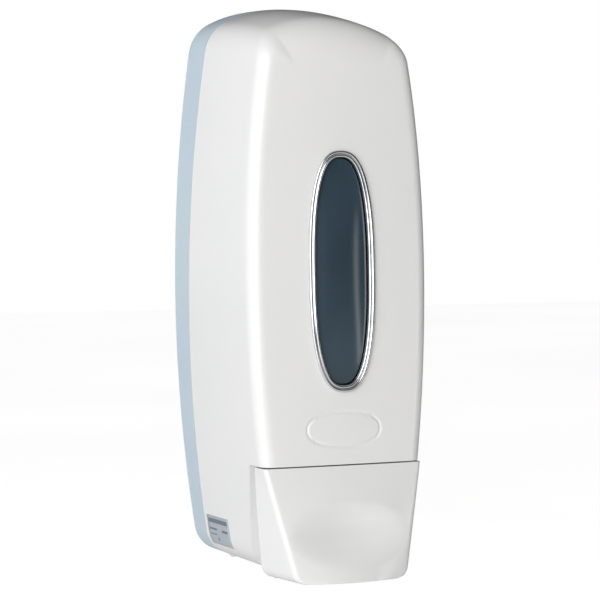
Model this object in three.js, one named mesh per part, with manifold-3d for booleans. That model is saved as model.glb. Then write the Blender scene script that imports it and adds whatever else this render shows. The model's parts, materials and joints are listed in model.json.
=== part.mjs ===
// Wall mounted soap dispenser with a push panel, a viewing window and a refillable tank.
// Units are millimetres. +Z is up and the wall is the plane y = 0, so the front faces -Y.
// "Depth" below is the distance from the wall, which is -y.

import * as THREE from 'three';
import { mergeVertices } from 'three/addons/utils/BufferGeometryUtils.js';
import { ParametricGeometry } from 'three/addons/geometries/ParametricGeometry.js';
import Module from 'manifold-3d';

const wasm = await Module();
wasm.setup();

// ---- driving dimensions --------------------------------------------------

const gap = 0.3;                    // clearance between pieces that touch
const looseGap = 0.5;               // clearance between pieces that slide or swing

const halfWidth = 40;               // at the wall, at the widest height
const widestHeight = 3.6;
const sideArcRadius = 636;          // barrel curve of the two sides
const topHeight = 109;
const topArcRadius = 56;
const topCornerRadius = 16;
const bottomHeight = -110;
const bottomArcRadius = 400;
const bottomCornerRadius = 12.5;

const frontDepth = 71.2;            // at z = 0, at the side creases
const frontLean = 0.037;            // depth lost per millimetre of height
const frontBulge = 0.6;             // how far the front is crowned between its creases
const sideDraft = 2.9;              // how far each side leans in between wall and front
const topDomeRadius = 225;          // side view curve of the top
const domePower = 3;                // how quickly that fall fades further down
const sideCrease = 5.2;
const topCrease = 14;
const bottomCrease = 3;

const skin = 2.2;                   // wall of the cover
const plateSkin = 2.2;
const plateBack = 2.5;
const jointDepth = 13.6;            // where plate and cover meet, at z = 0
const jointLean = 0.024;

const seamRoom = 5.5;               // seam over the push panel, above the plunger's head
const panelDrop = 1.5;              // how far the panel hangs below the bottom
const cutSetback = 10.3;            // rear edge of the cover's cutout behind the front, at the seam
const cutLean = 0.235;
const panelRearGapTop = 4.6;        // room that the panel's rear edge swings into
const panelRearGapLow = 8.1;
const panelSkin = 2.2;
const panelCreaseInset = 0.1;       // the panel's creases inside the cover's side, at the seam
const panelTaper = 9.9;             // how much narrower its half width is at the lower edge
const panelProudTop = 2.6;          // the panel's creases ahead of the front
const panelProudLow = 10.5;
const panelCrownTop = 0.8;          // how far the panel is crowned between its creases
const panelCrownLow = 3;
const panelCrease = 4;
const panelCornerRadius = 4;
const dentRise = 17.5;              // middle of the finger dent above the panel's lower edge
const dentHalfWidth = 22;
const dentHalfHeight = 11;
const dentDepth = 3.4;
const dentReach = 9;                // half depth of the flattened ball that forms the dent

const pivotSetback = 13.9;          // pivot pins behind the cutout's edge
const pivotRise = 8;                // and above the seam
const pivotPinRadius = 2;
const pivotPinProud = 0.8;          // how far the pins stand out of the skirts
const bossRadius = 4.6;
const bossFloor = 0.7;              // wall left at the end of a pin's bore
const skirtRoom = 2;                // between the skirts and the cover's inner wall
const skirtThickness = 2;
const skirtRise = 5.5;              // skirts' lower edge above the panel's
const skirtSlope = 7;               // how far their rear edge comes forward on the way down
const skirtNotch = 6;               // and forward of the pivot, at the panel's top
const pivotEye = 4;                 // radius of the skirts round the pivot pins
const skirtWrap = 0.6;              // they follow the lower corner while it faces sideways by this much
const ribHalfWidth = 5;             // rib that presses the pump's head
const ribHalfHeight = 1.5;

const windowRise = 7.7;             // lower edge of the window above the oval outline
const windowHalfWidth = 13.7;
const windowHalfHeight = 45.7;
const windowPower = 2.6;            // superellipse exponent
const bezelWidth = 2.7;
const bezelLip = 1.5;
const bezelProud = 1.2;
const bezelOuterRidge = 0.5;         // two ridges with a dip between them, in from the rim
const bezelDip = 1.1;
const bezelInnerRidge = 1.7;
const bezelRimDrop = 0.36;           // how far the rim, the dip and the inner edge lie under the ridges
const bezelDipDepth = 0.3;
const bezelInnerDrop = 0.6;
const bezelReach = 3;
const lensDome = 1.3;
const lensSunk = 0.6;               // rim of the lens below the front
const lensFoot = 0.4;               // its rear face ahead of the bezel's rear
const ovalRise = 13.3;              // middle of the oval outline above the seam
const ovalHalfWidth = 15.2;
const ovalHalfHeight = 6.4;
const ovalPower = 2.3;
const ovalGroove = 0.35;
const ovalGrooveHalf = 0.5;

const keySlotDepth = 25;
const keySlotWidth = 2.6;
const keySlotLength = 4.6;

const hingeX = 16.2;                // between the plate's knuckle and the cover's
const knuckleLength = 4.2;
const knuckleRadius = 2.2;
const hingePinRadius = 1;
const hingeRise = 1.3;              // hinge axis above the bottom
const knuckleWeb = 1.1;             // half height of the webs that carry the knuckles
const coverWebLength = 5;
const turnRoomAhead = 1.6;          // the plate's lower edge stands back from the hinge axis
const turnRoomRise = 4;

const keyholeX = 18;                // four keyholes for 4 mm pan head screws
const keyholeHigh = 58;
const keyholeRise = 15;             // the lower pair above the tank's floor
const keyholeRadius = 4.4;
const keySlideHalf = 2.3;
const keySlideRise = 7;

const shelfHalfWidth = 20;          // shelf and clips that hold the tank
const shelfThickness = 2.4;
const shelfSetback = 8.7;           // front edge of the shelf behind the tank's neck
const clipHalfHeight = 9;
const clipDepth = 24;
const clipThickness = 1.8;

const tankInset = 6.4;
const tankSkin = 1.8;
const tankRear = 7;
const tankSetback = 10.2;           // tank's front behind the cover's front
const tankRoom = 2;                 // between the tank's top and the latch's seat
const tankRise = 37;                // tank's floor above the pump's axis
const mouthAhead = 0.5;             // filling mouth ahead of midway from the rails to the tank's front
const mouthRadius = 14;
const mouthCollar = 4;
const mouthWall = 2;
const lidRadius = 18;
const lidThickness = 2.4;
const lidPlug = 1.8;                // wall of the lid's plug
const lidEdge = 0.6;
const sealThickness = 1;
const neckDrop = 9;                 // neck's end below the tank's floor
const neckRadius = 6.5;
const neckBore = 3.6;

const pumpRise = 26;                // axis of the pump cylinder above the bottom
const headSetback = 10.24;          // plunger head's rear behind the panel's face
const springRoom = 12;              // cylinder's front behind the plunger's head
const cylinderLength = 20;
const inletSetback = 13.8;          // inlet and outlet behind the cylinder's front
const pistonSetback = 19;           // piston's rear behind the plunger's head
const boreRadius = 8;
const cylinderWall = 2.5;
const flangeThickness = 3;
const flangeRim = 5;                // flange beyond the screws
const pistonLength = 4;
const sealGroove = 1.8;             // depth of the groove for the plunger's seal
const sealGrooveHalf = 0.9;
const sealPlay = 0.1;
const rodRadius = 4.4;
const headRadius = 10.5;
const headThickness = 2.5;
const headEdge = 0.5;
const socketWall = 2;
const socketDepth = 4;              // how far the socket reaches up round the neck
const stemWall = 1.8;
const valveBore = 3.2;
const passage = 1.8;
const outletDrop = 4;               // outlet's end below the cylinder
const gasketThickness = 1.6;
const gasketInset = 0.4;
const collarWall = 1.8;
const collarLip = 2.2;
const collarGrip = 5;
const springRadius = 8.6;
const springWire = 0.55;
const springTurns = 4;
const nozzleRadius = 5;
const nozzleWall = 1.8;
const nozzleTaper = 1;
const nozzleDrop = 1;               // nozzle's tip below the bottom
const nozzleTipWall = 1.2;
const nozzleRim = 0.5;              // rim round the nozzle's top
const nozzleRimHeight = 2;
const nozzleRimSlope = 0.6;
const lipRoom = 3.4;                // the outlet valve's lips in the nozzle, below the seat
const cupBore = 1.5;                // outlet valve: its cup, then the waist, and the lips with their slit
const cupHeight = 1.4;
const waistRadius = 1.7;
const waistBore = 0.6;
const waistHeight = 3.2;
const lipRadius = 0.9;
const lipSlit = 0.35;
const lipHeight = 5.6;
const discPlay = 0.4;               // inlet valve: its disc, the crown over it and the guide below
const discEdge = 0.7;
const discBevel = 0.1;
const crownRadius = 1;
const crownShoulder = 1.5;
const crownHeight = 1.6;
const guideRadius = 1.2;
const guideLength = 2.4;
const spoutWayHalf = 10;            // the nozzle's way out through the cover's floor
const spoutWayRear = 9;
const postX = 16;
const postRise = 10;
const postRadius = 3.6;
const screwRadius = 1.3;
const screwHead = 2.9;
const screwReach = 10;              // screw's length behind the flange
const screwHeadHeight = 2;
const screwSlotHalf = 0.35;
const screwSlotDepth = 0.9;
const screwHeadDome = 0.8;          // rounded edge of the screw's head, down and in
const screwHeadRound = 0.9;

const latchHalfWidth = 6;
const latchRear = 5;
const latchHeight = 11;
const latchStem = 4;
const latchArm = 2.4;
const latchNose = 3.6;              // nose's length, and it stands up by latchStep
const latchStep = 1;
const latchSpringRoom = 6;
const latchSpringRadius = 1.9;
const latchSpringWire = 0.35;
const railThickness = 2.3;
const railDepth = 5;
const seatThickness = 2.5;

const labelAhead = 0.9;             // label's rear edge ahead of the joint at z = 0
const labelLength = 19.5;
const labelRise = 6;                // label's lower edge above the bottom
const labelHeight = 11.5;
const labelThickness = 0.25;

const sink = 1;                     // how far a rib, web or post runs into the wall it joins
const past = 5;                     // how far a cutter runs past what it cuts
const wide = 60;                    // more than any piece reaches sideways or forward of its holes

// ---- sizes that follow from them --------------------------------------------

const pumpHeight = bottomHeight + pumpRise;
const seamHeight = pumpHeight + headRadius + seamRoom;
const panelTop = seamHeight - looseGap;
const panelBottom = bottomHeight - panelDrop;
const cutDepth = frontDepth - cutSetback;
const panelCreaseWide = sideHalfWidth(panelTop, frontDepth) - panelCreaseInset;
const panelCreaseNarrow = panelCreaseWide - panelTaper;
const panelCreaseDepthTop = frontDepth + panelProudTop;
const panelCreaseDepthLow = frontDepth + panelProudLow;
const dentHeight = panelBottom + dentRise;
const pivotDepth = cutDepth - pivotSetback;
const pivotHeight = seamHeight + pivotRise;
const skirtRear = pivotDepth - pivotEye;
const skirtBottom = panelBottom + skirtRise;
const ovalHeight = seamHeight + ovalRise;
const windowHeight = ovalHeight + ovalHalfHeight + windowRise + windowHalfHeight;
const hingeHeight = bottomHeight + hingeRise;
const hingeDepth = jointAt(hingeHeight);

const headDepth = panelFace(pumpHeight) - headSetback;
const cylinderFront = headDepth - springRoom;
const cylinderRear = cylinderFront - cylinderLength;
const cylinderRadius = boreRadius + cylinderWall;
const pumpDepth = cylinderFront - inletSetback;
const pistonDepth = headDepth - pistonSetback;
const flangeRear = cylinderRear - flangeThickness;
const collarFront = cylinderFront + collarLip;
const outletEnd = pumpHeight - cylinderRadius - outletDrop;
const nozzleTip = bottomHeight - nozzleDrop;

const latchFront = keySlotDepth + keySlotLength / 2 + sink;
const latchDome = topDomeRadius - Math.sqrt(topDomeRadius ** 2 - latchFront ** 2);
const latchTop = topHeight - skin - 3 * looseGap - latchDome;
const latchBottom = latchTop - latchHeight;
const latchSeat = latchBottom - latchSpringRoom;
const latchSpringLength = latchSpringRoom - 2 * gap;

const tankFront = frontDepth - tankSetback;
const tankBottom = pumpHeight + tankRise;
const tankTop = latchSeat - seatThickness - tankRoom;
const mouthDepth = (latchRear + railDepth + tankFront) / 2 + mouthAhead;
const neckEnd = tankBottom - neckDrop;
const lidBase = tankTop + mouthCollar;
const socketFloor = neckEnd - gasketThickness - 2 * gap;
const socketInner = neckRadius + looseGap;
const shelfTop = tankBottom - gap;
const shelfDepth = pumpDepth - neckRadius - shelfSetback;
const clipX = sideHalfWidth(widestHeight, tankRear) - tankInset + gap;
const keyholeLow = tankBottom + keyholeRise;

// ---- solids ----------------------------------------------------------------

// A closed geometry becomes a solid whose faces point out.
function solidFrom(geometry) {
  const bare = geometry.index ? geometry.toNonIndexed() : geometry.clone();
  for (const name of Object.keys(bare.attributes)) {
    if (name !== 'position') bare.deleteAttribute(name);
  }
  const merged = mergeVertices(bare, 1e-4);
  const corners = merged.index.array;
  const position = merged.attributes.position;
  const triangles = [];
  let volume = 0;
  const a = new THREE.Vector3();
  const b = new THREE.Vector3();
  const c = new THREE.Vector3();
  for (let i = 0; i < corners.length; i += 3) {
    const [p, q, r] = [corners[i], corners[i + 1], corners[i + 2]];
    if (p === q || q === r || r === p) continue;
    triangles.push(p, q, r);
    a.fromBufferAttribute(position, p);
    b.fromBufferAttribute(position, q);
    c.fromBufferAttribute(position, r);
    volume += a.dot(b.cross(c));
  }
  if (volume < 0) triangles.reverse();
  const mesh = new wasm.Mesh({
    numProp: 3,
    vertProperties: new Float32Array(position.array),
    triVerts: new Uint32Array(triangles),
  });
  return new wasm.Manifold(mesh);
}

function box(low, high) {
  const size = high.map((value, i) => value - low[i]);
  const geometry = new THREE.BoxGeometry(...size);
  geometry.translate(...low.map((value, i) => value + size[i] / 2));
  return solidFrom(geometry);
}

// A rod from one point to another.
function rod(from, to, radius, sides = 16) {
  const start = new THREE.Vector3(...from);
  const along = new THREE.Vector3(...to).sub(start);
  const geometry = new THREE.CylinderGeometry(radius, radius, along.length(), sides);
  geometry.translate(0, along.length() / 2, 0);
  const turn = new THREE.Quaternion().setFromUnitVectors(new THREE.Vector3(0, 1, 0), along.normalize());
  geometry.applyQuaternion(turn);
  geometry.translate(...from);
  return solidFrom(geometry);
}

// A turned piece: profile pairs are [radius, distance along the axis from the base point].
function turned(profile, base, direction, sides = 20) {
  const points = profile.map(([r, h]) => new THREE.Vector2(r, h));
  const closed = profile[0][0] > 0;
  if (closed) points.push(points[0].clone());
  const geometry = new THREE.LatheGeometry(points, sides);
  const axis = new THREE.Vector3(...direction).normalize();
  geometry.applyQuaternion(new THREE.Quaternion().setFromUnitVectors(new THREE.Vector3(0, 1, 0), axis));
  geometry.translate(...base);
  return solidFrom(geometry);
}

function union(...solids) {
  return solids.reduce((whole, piece) => whole.add(piece));
}

function without(solid, ...cutters) {
  return cutters.reduce((left, cutter) => left.subtract(cutter), solid);
}

// ---- outer form -------------------------------------------------------------

// Centre of the corner arc that touches two larger arcs from inside.
function cornerCentre(first, firstRadius, second, secondRadius, radius, upwards) {
  const r1 = firstRadius - radius;
  const r2 = secondRadius - radius;
  const line = second.clone().sub(first);
  const distance = line.length();
  line.normalize();
  const along = (r1 * r1 - r2 * r2 + distance * distance) / (2 * distance);
  const aside = Math.sqrt(r1 * r1 - along * along);
  const foot = first.clone().addScaledVector(line, along);
  const across = new THREE.Vector2(-line.y, line.x);
  const options = [1, -1].map((sign) => foot.clone().addScaledVector(across, sign * aside));
  return options.find((option) => option.x > 0 && (option.y > 0) === upwards);
}

// Front view outline at the wall: bottom arc, corner, side arc, corner, top arc, then mirrored.
function outlineStations() {
  const side = new THREE.Vector2(halfWidth - sideArcRadius, widestHeight);
  const top = new THREE.Vector2(0, topHeight - topArcRadius);
  const bottom = new THREE.Vector2(0, bottomHeight + bottomArcRadius);
  const upper = cornerCentre(side, sideArcRadius, top, topArcRadius, topCornerRadius, true);
  const lower = cornerCentre(side, sideArcRadius, bottom, bottomArcRadius, bottomCornerRadius, false);
  const angle = (from, to) => Math.atan2(to.y - from.y, to.x - from.x);
  const lowerSide = angle(side, lower);
  const upperSide = angle(side, upper);
  const topEnd = angle(top, upper);
  const bottomStart = angle(bottom, lower);
  const arcs = [
    { centre: bottom, radius: bottomArcRadius, from: -Math.PI / 2, to: bottomStart, steps: 2 },
    { centre: lower, radius: bottomCornerRadius, from: bottomStart, to: lowerSide, steps: 4 },
    { centre: side, radius: sideArcRadius, from: lowerSide, to: upperSide, steps: 9 },
    { centre: upper, radius: topCornerRadius, from: upperSide, to: topEnd, steps: 4 },
    { centre: top, radius: topArcRadius, from: topEnd, to: Math.PI / 2, steps: 3 },
  ];
  const right = [];
  for (const arc of arcs) {
    for (let i = 0; i < arc.steps; i++) {
      const a = arc.from + ((arc.to - arc.from) * i) / arc.steps;
      const nx = Math.cos(a);
      const nz = Math.sin(a);
      right.push({ x: arc.centre.x + arc.radius * nx, z: arc.centre.y + arc.radius * nz, nx, nz });
    }
  }
  right[0] = { x: 0, z: bottomHeight, nx: 0, nz: -1 };
  const peak = { x: 0, z: topHeight, nx: 0, nz: 1 };
  const left = right.slice(1).reverse().map((s) => ({ x: -s.x, z: s.z, nx: -s.nx, nz: s.nz }));
  return [...right, peak, ...left];
}

const stations = outlineStations();

// Half width of the outer form at a height and a depth, away from its corners.
function sideHalfWidth(z, depth) {
  const rise = z - widestHeight;
  const atWall = halfWidth - (sideArcRadius - Math.sqrt(sideArcRadius ** 2 - rise * rise));
  return atWall - (sideDraft * depth) / frontDepth;
}

function jointAt(z) {
  return jointDepth + jointLean * z;
}

// Depth of the crowned front face.
function frontAt(x, z) {
  const crease = sideHalfWidth(z, frontDepth) - sideCrease / 2;
  return frontDepth - frontLean * z + frontBulge * (1 - (x / crease) ** 2);
}

// A point of the side wall: the outline leans in with depth, and the top falls away as a dome.
function wallPoint(station, depth, inset) {
  const dome = topDomeRadius - Math.sqrt(topDomeRadius ** 2 - depth * depth);
  const lean = (sideDraft * depth) / frontDepth;
  const share = Math.max(0, station.z / topHeight) ** domePower;
  return {
    x: station.x - station.nx * (inset + lean),
    z: station.z - station.nz * inset - share * dome,
  };
}

// The whole outer form, moved inward by an inset. Rows run from the middle of the front,
// over the crease and back along the side wall to the middle of the rear.
const frontRows = [0, 0.4, 0.75, 1];
const creaseRows = [0.3, 0.65, 1];
const wallRows = [0.55, 0];

function outerForm(inset, rearDepth = 0) {
  const middle = { x: 0, z: 0 };
  const rows = frontRows.length + creaseRows.length + wallRows.length + 1;
  const point = (station, row) => {
    const nz = station.nz;
    const end = nz > 0 ? topCrease : bottomCrease;
    const leg = Math.max(sideCrease + (end - sideCrease) * nz * nz - inset / 2, 1);
    let depth = frontDepth;
    for (let i = 0; i < 6; i++) {
      const edge = wallPoint(station, depth, inset);
      depth = frontAt(edge.x, edge.z) - inset;
    }
    const sharp = wallPoint(station, depth, inset);
    const inner = { x: sharp.x - station.nx * leg, z: sharp.z - nz * leg };
    if (row < frontRows.length) {
      const k = frontRows[row];
      const x = middle.x + k * (inner.x - middle.x);
      const z = middle.z + k * (inner.z - middle.z);
      return [x, -(frontAt(x, z) - inset), z];
    }
    if (row < frontRows.length + creaseRows.length) {
      const t = creaseRows[row - frontRows.length];
      const start = wallPoint(station, depth - leg, inset);
      const bezier = (a, b, c) => (1 - t) ** 2 * a + 2 * t * (1 - t) * b + t * t * c;
      const innerDepth = frontAt(inner.x, inner.z) - inset;
      return [
        bezier(inner.x, sharp.x, start.x),
        -bezier(innerDepth, depth, depth - leg),
        bezier(inner.z, sharp.z, start.z),
      ];
    }
    if (row < rows - 1) {
      const share = wallRows[row - frontRows.length - creaseRows.length];
      const d = rearDepth + share * (depth - leg - rearDepth);
      const edge = wallPoint(station, d, inset);
      return [edge.x, -d, edge.z];
    }
    return [middle.x, -rearDepth, middle.z];
  };
  const place = (u, v, target) => {
    const station = stations[Math.round(u * stations.length) % stations.length];
    target.set(...point(station, Math.round(v * (rows - 1))));
  };
  return solidFrom(new ParametricGeometry(place, stations.length, rows - 1));
}

// Everything nearer the wall than a leaning plane, moved forward by an offset.
function behindPlane(depthAtZero, lean, offset) {
  const geometry = new THREE.BoxGeometry(400, 400, 400);
  geometry.translate(0, 200, 0);
  geometry.rotateX(Math.atan(lean));
  geometry.translate(0, -(depthAtZero + offset), 0);
  return solidFrom(geometry);
}

// ---- ovals that follow the crowned front ---------------------------------------

function ovalPoint(angle, halfX, halfZ, power) {
  const c = Math.cos(angle);
  const s = Math.sin(angle);
  return {
    x: Math.sign(c) * halfX * Math.abs(c) ** (2 / power),
    z: Math.sign(s) * halfZ * Math.abs(s) ** (2 / power),
  };
}

// A ring whose section pairs are [outward offset from the oval, height above the front].
function ovalRing(section, centreZ, halfX, halfZ, power, steps) {
  const place = (u, v, target) => {
    const [out, up] = section[Math.round(v * section.length) % section.length];
    const angle = (Math.round(u * steps) % steps) * ((2 * Math.PI) / steps);
    const p = ovalPoint(angle, halfX + out, halfZ + out, power);
    target.set(p.x, -(frontAt(p.x, centreZ + p.z) + up), centreZ + p.z);
  };
  return solidFrom(new ParametricGeometry(place, steps, section.length));
}

// A filled oval between two heights above the front, with a domed face.
function ovalDisc(low, high, dome, centreZ, halfX, halfZ, power, steps) {
  const rings = [0, 0.6, 1];
  const rows = [...rings.map((k) => [k, high, dome]), ...rings.map((k) => [k, low, 0]).reverse()];
  const place = (u, v, target) => {
    const [k, up, crown] = rows[Math.round(v * (rows.length - 1))];
    const angle = (Math.round(u * steps) % steps) * ((2 * Math.PI) / steps);
    const p = ovalPoint(angle, halfX * k, halfZ * k, power);
    target.set(p.x, -(frontAt(p.x, centreZ + p.z) + up + crown * (1 - k * k)), centreZ + p.z);
  };
  return solidFrom(new ParametricGeometry(place, steps, rows.length - 1));
}

// ---- wall plate ------------------------------------------------------------------

const plateInner = outerForm(plateSkin);
const coverInner = outerForm(skin);
const coverOuter = outerForm(0);

function keyhole(x, z) {
  const large = rod([x, sink, z], [x, -plateBack - past, z], keyholeRadius);
  const slot = box([x - keySlideHalf, -plateBack - past, z], [x + keySlideHalf, sink, z + keySlideRise]);
  const end = rod([x, sink, z + keySlideRise], [x, -plateBack - past, z + keySlideRise], keySlideHalf);
  return union(large, slot, end);
}

const posts = [[-postX, postRise], [postX, postRise], [-postX, -postRise], [postX, -postRise]]
  .map(([x, dz]) => [x, pumpHeight + dz]);

function knuckle(x) {
  return rod([x, -hingeDepth, hingeHeight], [x + knuckleLength, -hingeDepth, hingeHeight], knuckleRadius);
}

// The plate's knuckles are the inner ones and the cover's the outer ones.
const plateKnuckles = [-hingeX + gap / 2, hingeX - gap / 2 - knuckleLength];
const coverKnuckles = [-hingeX - gap / 2 - knuckleLength, hingeX + gap / 2];
const pinReach = knuckleLength + gap / 2 - gap;
const hingeBore = rod(
  [-wide, -hingeDepth, hingeHeight], [wide, -hingeDepth, hingeHeight], hingePinRadius + gap);

function knuckleRoom(x) {
  const radius = knuckleRadius + looseGap;
  const low = [x - gap, -hingeDepth, hingeHeight];
  return rod(low, [x + knuckleLength + gap, -hingeDepth, hingeHeight], radius);
}

function makeWallPlate() {
  const hollow = without(plateInner, behindPlane(plateBack, 0, 0));
  let plate = coverOuter.intersect(behindPlane(jointDepth, jointLean, -gap / 2)).subtract(hollow);
  // the lower edge stands back, so that the cover's lower edge can turn past it
  const turnRoom = box(
    [-wide, -wide, bottomHeight - past], [wide, -hingeDepth + turnRoomAhead, bottomHeight + turnRoomRise]);
  plate = plate.subtract(turnRoom);
  for (const x of plateKnuckles) {
    const low = [x, -hingeDepth, hingeHeight - knuckleWeb];
    const web = box(low, [x + knuckleLength, -plateBack + sink, hingeHeight + knuckleWeb]);
    plate = union(plate, knuckle(x), web);
  }
  for (const x of coverKnuckles) plate = plate.subtract(knuckleRoom(x));
  plate = plate.subtract(hingeBore);
  const shelf = box(
    [-shelfHalfWidth, -shelfDepth, shelfTop - shelfThickness], [shelfHalfWidth, -plateBack + sink, shelfTop]);
  plate = plate.add(shelf);
  for (const side of [-1, 1]) {
    const [near, far] = [side * clipX, side * (clipX + clipThickness)].sort((a, b) => a - b);
    const low = [near, -clipDepth, widestHeight - clipHalfHeight];
    const arm = box(low, [far, -plateBack + sink, widestHeight + clipHalfHeight]);
    plate = plate.add(arm);
    plate = plate.subtract(keyhole(side * keyholeX, keyholeHigh));
    plate = plate.subtract(keyhole(side * keyholeX, keyholeLow));
  }
  for (const [x, z] of posts) {
    const post = rod([x, -plateBack + sink, z], [x, -flangeRear + gap, z], postRadius);
    const hole = rod([x, -flangeRear + screwReach + 2 * sink, z], [x, -wide, z], screwRadius + gap);
    plate = union(plate, post).subtract(hole);
  }
  // two rails that the latch slides between, and the seat of its spring
  const railX = latchHalfWidth + gap;
  const railFront = -latchRear - railDepth;
  for (const side of [-1, 1]) {
    const [near, far] = [side * railX, side * (railX + railThickness)].sort((a, b) => a - b);
    plate = plate.add(box([near, railFront, latchSeat], [far, -plateBack + sink, latchTop - latchStep]));
  }
  const seatX = railX + railThickness / 2;
  return plate.add(box([-seatX, railFront, latchSeat - seatThickness], [seatX, -plateBack + sink, latchSeat]));
}

// ---- latch ---------------------------------------------------------------------

function makeLatch() {
  const shoulder = latchTop - latchStep;
  const stem = box(
    [-latchHalfWidth, -latchRear - latchStem, latchBottom], [latchHalfWidth, -latchRear, shoulder]);
  const arm = box([-latchHalfWidth, -latchFront, shoulder - latchArm], [latchHalfWidth, -latchRear, shoulder]);
  const nose = box(
    [-latchHalfWidth, -latchFront, shoulder - latchArm], [latchHalfWidth, -latchFront + latchNose, latchTop]);
  return union(stem, arm, nose);
}

// ---- cover ---------------------------------------------------------------------

function windowHole() {
  const neck = windowHalfWidth - bezelLip + gap;
  const neckHigh = windowHalfHeight - bezelLip + gap;
  const shape = new THREE.Shape();
  const steps = 32;
  for (let i = 0; i < steps; i++) {
    const p = ovalPoint((i * 2 * Math.PI) / steps, neck, neckHigh, windowPower);
    if (i === 0) shape.moveTo(p.x, p.z);
    else shape.lineTo(p.x, p.z);
  }
  const geometry = new THREE.ExtrudeGeometry(shape, { depth: wide, bevelEnabled: false });
  geometry.rotateX(Math.PI / 2);
  geometry.translate(0, -frontDepth / 2, windowHeight);
  return solidFrom(geometry);
}

const bossX = sideHalfWidth(pivotHeight, pivotDepth) - skin - skirtRoom + 2 * gap;
const boreEnd = sideHalfWidth(pivotHeight, pivotDepth) - skin + bossFloor;
const pinHole = pivotPinRadius + gap;

function makeCover() {
  const ahead = behindPlane(jointDepth, jointLean, gap / 2);
  let cover = coverOuter.subtract(coverInner).subtract(ahead);
  // the push panel's opening
  const belowSeam = box([-2 * halfWidth, -2 * frontDepth, 2 * bottomHeight], [2 * halfWidth, 0, seamHeight]);
  const aheadOfCut = belowSeam.subtract(behindPlane(cutDepth + cutLean * -seamHeight, cutLean, 0));
  cover = cover.subtract(aheadOfCut).subtract(windowHole());
  // the nozzle's way out through the floor
  const wayLow = [-spoutWayHalf, -2 * frontDepth, bottomHeight - past];
  cover = cover.subtract(box(wayLow, [spoutWayHalf, -pumpDepth + spoutWayRear, bottomHeight + past]));
  // oval outline under the window
  const half = ovalGrooveHalf;
  const groove = [[-half, sink], [half, sink], [half, -ovalGroove], [-half, -ovalGroove]];
  cover = cover.subtract(ovalRing(groove, ovalHeight, ovalHalfWidth, ovalHalfHeight, ovalPower, 24));
  // key slot above the latch
  cover = cover.subtract(box(
    [-keySlotWidth / 2, -keySlotDepth - keySlotLength / 2, latchTop],
    [keySlotWidth / 2, -keySlotDepth + keySlotLength / 2, topHeight + past]));
  // bosses for the panel's pivot pins
  for (const side of [-1, 1]) {
    const wallX = sideHalfWidth(pivotHeight, pivotDepth) - skin / 2;
    const at = (x) => [side * x, -pivotDepth, pivotHeight];
    const boss = rod(at(bossX), at(wallX), bossRadius);
    const hole = rod(at(0), at(boreEnd), pinHole);
    cover = cover.add(boss).subtract(hole);
  }
  for (const x of coverKnuckles) {
    const low = [x, -hingeDepth - coverWebLength, hingeHeight - knuckleWeb];
    const web = box(low, [x + knuckleLength, -hingeDepth, hingeHeight + knuckleWeb]);
    cover = union(cover, knuckle(x), web);
  }
  for (const x of plateKnuckles) cover = cover.subtract(knuckleRoom(x));
  return cover.subtract(hingeBore);
}

// ---- window ----------------------------------------------------------------------

function makeBezel() {
  const lip = -bezelLip;
  const inner = -bezelWidth;
  const section = [
    [lip, -bezelReach], [lip, gap], [0, gap], [0, bezelProud - bezelRimDrop],
    [-bezelOuterRidge, bezelProud], [-bezelDip, bezelProud - bezelDipDepth], [-bezelInnerRidge, bezelProud],
    [inner, bezelProud - bezelInnerDrop], [inner, -bezelReach],
  ];
  return ovalRing(section, windowHeight, windowHalfWidth, windowHalfHeight, windowPower, 32);
}

function makeLens() {
  const halfX = windowHalfWidth - bezelWidth - gap;
  const halfZ = windowHalfHeight - bezelWidth - gap;
  const rear = -bezelReach + lensFoot;
  return ovalDisc(rear, -lensSunk, lensDome, windowHeight, halfX, halfZ, windowPower, 28);
}

// ---- push panel --------------------------------------------------------------------

// A panel size that runs evenly from its value at the top to its value at the lower edge.
function panelMix(z, atTop, atBottom) {
  return atTop + ((atBottom - atTop) * (panelTop - z)) / (panelTop - panelBottom);
}

// Depth of the panel's front at its creases, and on its middle line.
function panelCreaseDepth(z) {
  return panelMix(z, panelCreaseDepthTop, panelCreaseDepthLow);
}

function panelFace(z) {
  return panelCreaseDepth(z) + panelMix(z, panelCrownTop, panelCrownLow);
}

// Level section of the panel, from its left rear edge round the front to its right rear edge.
function panelSection(z, inset) {
  const rear = cutDepth + cutLean * (z - seamHeight) + panelMix(z, panelRearGapTop, panelRearGapLow);
  const creaseX = panelMix(z, panelCreaseWide, panelCreaseNarrow) - inset;
  const creaseDepth = panelCreaseDepth(z) - inset;
  const crown = panelFace(z) - panelCreaseDepth(z);
  const rearX = sideHalfWidth(z, rear) - inset;
  const low = z - panelBottom;
  const round = low < panelCornerRadius
    ? panelCornerRadius - Math.sqrt(panelCornerRadius ** 2 - (panelCornerRadius - low) ** 2) : 0;
  const bulgeAt = (x) => creaseDepth + crown * (1 - (x / creaseX) ** 2);
  const side = new THREE.Vector2(creaseX - rearX, creaseDepth - rear).normalize();
  const leg = Math.max(panelCrease - inset / 2, 1);
  // the hollow runs on past the rear edge, so that it cuts the rear open
  const half = inset > 0 ? [[rearX, rear - inset]] : [];
  half.push([rearX, rear]);
  half.push([(rearX + creaseX) / 2, (rear + creaseDepth) / 2]);
  const start = [creaseX - side.x * leg, creaseDepth - side.y * leg];
  const end = [creaseX - leg, bulgeAt(creaseX - leg)];
  for (const t of [0, 0.3, 0.65, 1]) {
    const bezier = (a, b, c) => (1 - t) ** 2 * a + 2 * t * (1 - t) * b + t * t * c;
    half.push([bezier(start[0], creaseX, end[0]), bezier(start[1], creaseDepth, end[1])]);
  }
  for (const k of [0.75, 0.5, 0.25, 0]) half.push([end[0] * k, bulgeAt(end[0] * k)]);
  const rounded = half.map(([x, d]) => [x - (x * round) / rearX, d]);
  return [...rounded.map(([x, d]) => [-x, d]), ...rounded.slice(0, -1).reverse()];
}

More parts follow.
